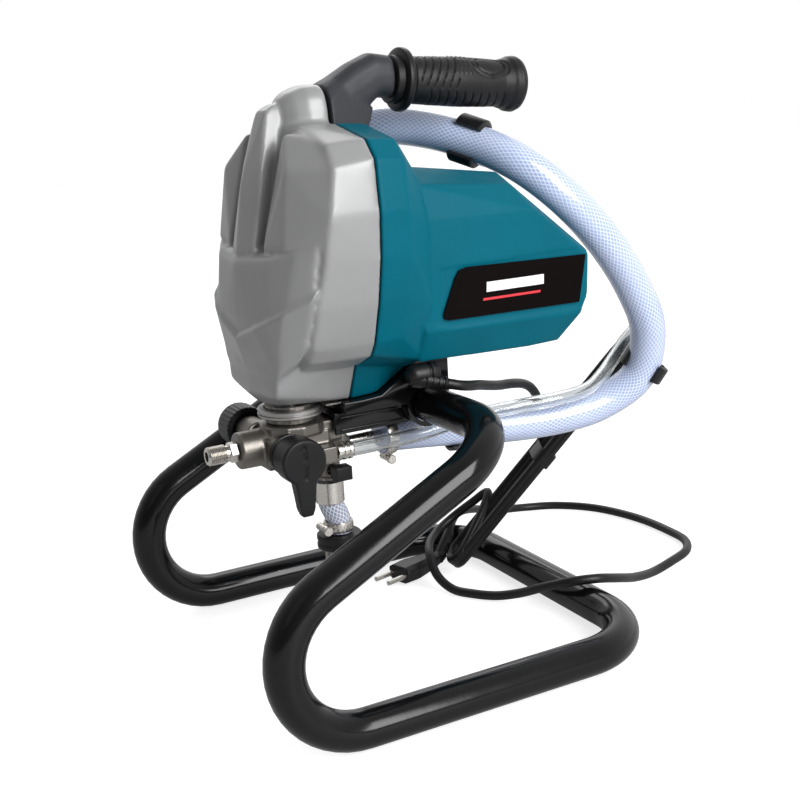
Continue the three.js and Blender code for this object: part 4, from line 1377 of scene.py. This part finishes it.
def worm_clamp(name, start, way, inner, wide, screw, node, long):
    """A slotted band with its screw across it."""
    shape = bmesh.new()
    profile = [(0, inner), (0, inner + 1), (0.3, inner + 1.1), (wide - 0.3, inner + 1.1),
               (wide, inner + 1), (wide, inner), (0, inner)]
    add_turned(shape, profile, start, way, 64)
    add_turned(shape, [(0, 0), (0, 2.8), (0.5, 3.3), (3, 3.3), (3.4, 2.1), (5.4, 2.1), (5.6, 2.7),
                       (long, 2.7), (long, 0)],
               screw, (0, 1, 0), 32)
    # The worm's thread stands out across the band.
    add_teeth(shape, start, way, 22, inner + 1.1, wide / 2, (wide * 0.3, 0.55, 0.35), 0.3)
    piece(name, shape, STEEL, "steel", node)


def rear_fittings():
    worm_clamp("suction_clamp_band", at(50.5, SUCTION_Y, SUCTION_Z), ALONG, 13.5, 7.5,
               at(54.2, SUCTION_Y - 9, SUCTION_Z - 17), "suction_clamp", 15)
    fitting = bmesh.new()
    add_turned(fitting, [(0, 0), (0, 5.9), (0.6, 6.5), (5.1, 6.5), (5.7, 5.9), (5.7, 0)],
               at(18.3, SUCTION_Y, SUCTION_Z), ALONG, 6)
    barbs = [(0, 0), (0, 4)]
    for k in range(4):
        barbs += [(26 + k * 2.6, 4), (26.2 + k * 2.6, 4.3), (28.4 + k * 2.6, 4)]
    barbs += [(37.7, 4), (37.7, 0)]
    add_turned(fitting, barbs, at(12, SUCTION_Y, SUCTION_Z), ALONG, 40)
    piece("suction_barb", fitting, STEEL, "steel", "suction_fitting", 25)
    profile = [(0, 0), (0, 5.6), (0.6, 6.2), (2.6, 6.2), (3.2, 5.5), (4.4, 5.5), (5, 6.2), (6.6, 6.2),
               (7.2, 5.5), (8.4, 5.5), (9, 6.2), (11, 6.2), (11.6, 5.6), (11.6, 0)]
    turned("return_crimp", profile, at(3, -21.5, 152.5), ALONG, 48, STEEL, "steel", "return_ferrule")


# ---------- controls ----------
def prime_valve():
    profile = [(0, 5.4), (0, 13.2), (0.8, 14), (4, 14), (4.4, 13.2), (6.6, 13.2), (7, 14), (10.4, 14),
               (11.2, 13.2), (11.2, 5.4), (0, 5.4)]
    turned("prime_valve_collar", profile, at(VALVE_X, -34, VALVE_Z), ACROSS, 64, BLACK, "black_plastic",
           "prime_valve_body")

    lever = bmesh.new()
    add_turned(lever, [(0, 0), (0, 14.2), (1.2, 15.3), (15, 15.3), (15.6, 14.7), (15.6, 0)],
               at(VALVE_X, -50, VALVE_Z), ACROSS, 72)
    tail = [(0, 9, 0), (15.6, 9, 0), (15.6, 5.2, -18), (0, 5.2, -18), (1, 5, -32), (14, 5, -32),
            (2, 3.6, -36), (12, 3.6, -36), (7, 1.5, -37)]
    add_hull(lever, [(VALVE_X + side * across, -50 + depth * 0.62, VALVE_Z + drop)
                     for depth, across, drop in tail for side in (-1, 1)])
    add_bar(lever, (VALVE_X, -36, VALVE_Z), (VALVE_X, -23.2, VALVE_Z), 5)
    cuts = bmesh.new()
    add_hull(cuts, [(VALVE_X + a, y, VALVE_Z + z) for a, z in ((-0.2, 12), (1.3, 11), (2.2, 0),
                                                               (0.6, -12), (-0.9, -11), (0.6, 0))
                    for y in (-52, -49.1)])
    add_bore(cuts, (VALVE_X, -52, VALVE_Z + 9), ACROSS, 2, 3, 24)
    made = fused("prime_lever_moulded", lever, cuts, voxel=0.6, rounds=4)
    settle(made, BLACK, "prime_lever", "black_plastic", "prime_valve_lever", 80)
    turned("prime_lever_screw", [(0, 0), (0.2, 2.6), (1.2, 3), (2, 3), (2, 0)],
           at(VALVE_X, -50.2, VALVE_Z), ACROSS, 24, BLACK, "black_plastic", body="prime_lever")


def pressure_knob():
    """A knurled cup with a raised pointer on its face."""
    shape = bmesh.new()
    sides = 180
    profile = [(31.8, 12), (31.8, 14.6), (32.6, 15.4), (49.6, 15.4), (51.6, 15), (53.4, 13.8),
               (54, 12.4), (54, 0)]
    inner = [(44, 0), (44, 5.3), (36, 5.3), (36, 12)]
    rings = []
    for y, radius in [*profile, *inner]:
        if radius == 0:
            rings.append([shape.verts.new(at(PRESSURE_X, y, PRESSURE_Z))])
            continue
        ring = []
        for turn in circle(sides):
            notch = 0.45 * max(0.0, math.cos(turn * 30)) if 32 < y < 50 and radius > 15 else 0
            size = radius - notch
            ring.append(shape.verts.new(at(PRESSURE_X + size * math.cos(turn), y,
                                           PRESSURE_Z + size * math.sin(turn))))
        rings.append(ring)
    for before, after in zip(rings, [*rings[1:], rings[0]]):
        for k in range(sides):
            n = (k + 1) % sides
            add_patch(shape, before, after, k, n)
    add_hull(shape, [(PRESSURE_X + x, y, PRESSURE_Z + z)
                     for x, z in ((-1.5, 0), (1.5, 0), (1.5, 13), (0, 14.5), (-1.5, 13))
                     for y in (53, 55.3)])
    piece("pressure_knob_knurled", shape, BLACK, "black_plastic", "pressure_knob", 30,
          body="pressure_control")


def cord_boot():
    """The flanged boot that the cord leaves the casing through, with its ribbed spout."""
    shape = bmesh.new()
    profile = [(0, 0), (0, 2), (0.8, 4.4), (2.6, 6.2), (5, 7.1), (14, 7.2), (15, 6.2), (16, 6.2),
               (16.6, 7.3), (21, 7.3), (22, 6.6), (22.5, 5.4), (22.5, 0)]
    add_turned(shape, profile, at(45, -50, 202.6), ALONG, 48)
    start, after = at(*CORD_TO_HANK[0]), at(*CORD_TO_HANK[1])
    way = (after - start).normalized()
    spout = [(-24, 0), (-24, 6), (-18, 5.9)]
    for k in range(4):
        near = -17 + 4.2 * k
        radius = 5.8 - 0.35 * k
        spout += [(near, radius), (near + 0.5, radius - 0.8), (near + 1.4, radius - 0.8),
                  (near + 1.9, radius - 0.1)]
    spout += [(-1.2, 4.4), (-0.8, 4), (-0.8, 0)]
    add_turned(shape, spout, start, way, 40)
    piece("cord_boot", shape, RUBBER, "cord_rubber", "cord_grommet")


stand()
stand_details()
front_cover()
motor_housing()
label()
switch()
bracket()
grip()
hoses()
pump_block()
pump_top()
outlet()
inlet()
drop_hose()
rear_fittings()
prime_valve()
pressure_knob()
cord_boot()


# ---------- room and light ----------
def room():
    half = 6.0
    shape = bmesh.new()
    for x, y in ((-half, -half), (half, -half), (half, half), (-half, half)):
        shape.verts.new((x, y, -0.0005))
    shape.faces.new(list(shape.verts))
    floor = new_object("floor", mesh_of("floor", shape))
    pale = Finish("pale_floor", (0.45, 0.45, 0.455), 0.6)
    # The floor looks white, and throws less light back up.
    ray = pale.node("LightPath").outputs["Is Camera Ray"]
    pale.links.new(pale.spread(ray, 0.12, 0.75), pale.shader.inputs["Emission Strength"])
    pale.shader.inputs["Emission Color"].default_value = (1, 1, 1, 1)
    pale.rough(pale.spread(pale.noise(3), 0.55, 0.65))
    floor.data.materials.append(pale.material)
    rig.stage(floor)


def light(name, place, aim, size, power):
    data = bpy.data.lights.new(name, "AREA")
    data.shape = "RECTANGLE"
    data.size, data.size_y = size
    data.energy = power
    made = bpy.data.objects.new(name, data)
    made.location = place
    made.rotation_euler = (Vector(aim) - Vector(place)).to_track_quat("-Z", "Y").to_euler()
    bpy.context.scene.collection.objects.link(made)


def sky():
    world = bpy.data.worlds.new("sky")
    world.use_nodes = True
    nodes, links = world.node_tree.nodes, world.node_tree.links
    # A white studio that is darker on the side the front cover faces.
    way = nodes.new("ShaderNodeTexCoord")
    facing = nodes.new("ShaderNodeVectorMath")
    facing.operation = "DOT_PRODUCT"
    facing.inputs[1].default_value = (0.8, 0.6, -0.15)
    links.new(way.outputs["Generated"], facing.inputs[0])
    level = nodes.new("ShaderNodeMapRange")
    level.inputs["From Min"].default_value = -1
    level.inputs["To Min"].default_value = 0.1
    level.inputs["To Max"].default_value = 1.1
    links.new(facing.outputs["Value"], level.inputs["Value"])
    # The background itself stays plain white.
    ray = nodes.new("ShaderNodeLightPath")
    strength = nodes.new("ShaderNodeMix")
    strength.inputs[3].default_value = 1
    links.new(ray.outputs["Is Camera Ray"], strength.inputs[0])
    links.new(level.outputs["Result"], strength.inputs[2])
    links.new(strength.outputs[0], nodes["Background"].inputs["Strength"])
    nodes["Background"].inputs["Color"].default_value = (1, 1, 1, 1)
    bpy.context.scene.world = world
    bpy.context.scene.view_settings.view_transform = "Standard"


room()
sky()
light("key", (0.35, -2.0, 1.15), (0, 0, 0.2), (1.2, 1.6), 63)
light("fill", (-2.0, -0.9, 1.6), (0, 0, 0.2), (1.2, 1.4), 1)
light("rim", (0.6, 1.8, 1.6), (0, 0, 0.25), (1.6, 1.0), 10)

json.dump(
    {"cad_box": [list(v) for v in cad_box], "visual_box": [list(v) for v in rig.bounds()]},
    open("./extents.json", "w"),
)
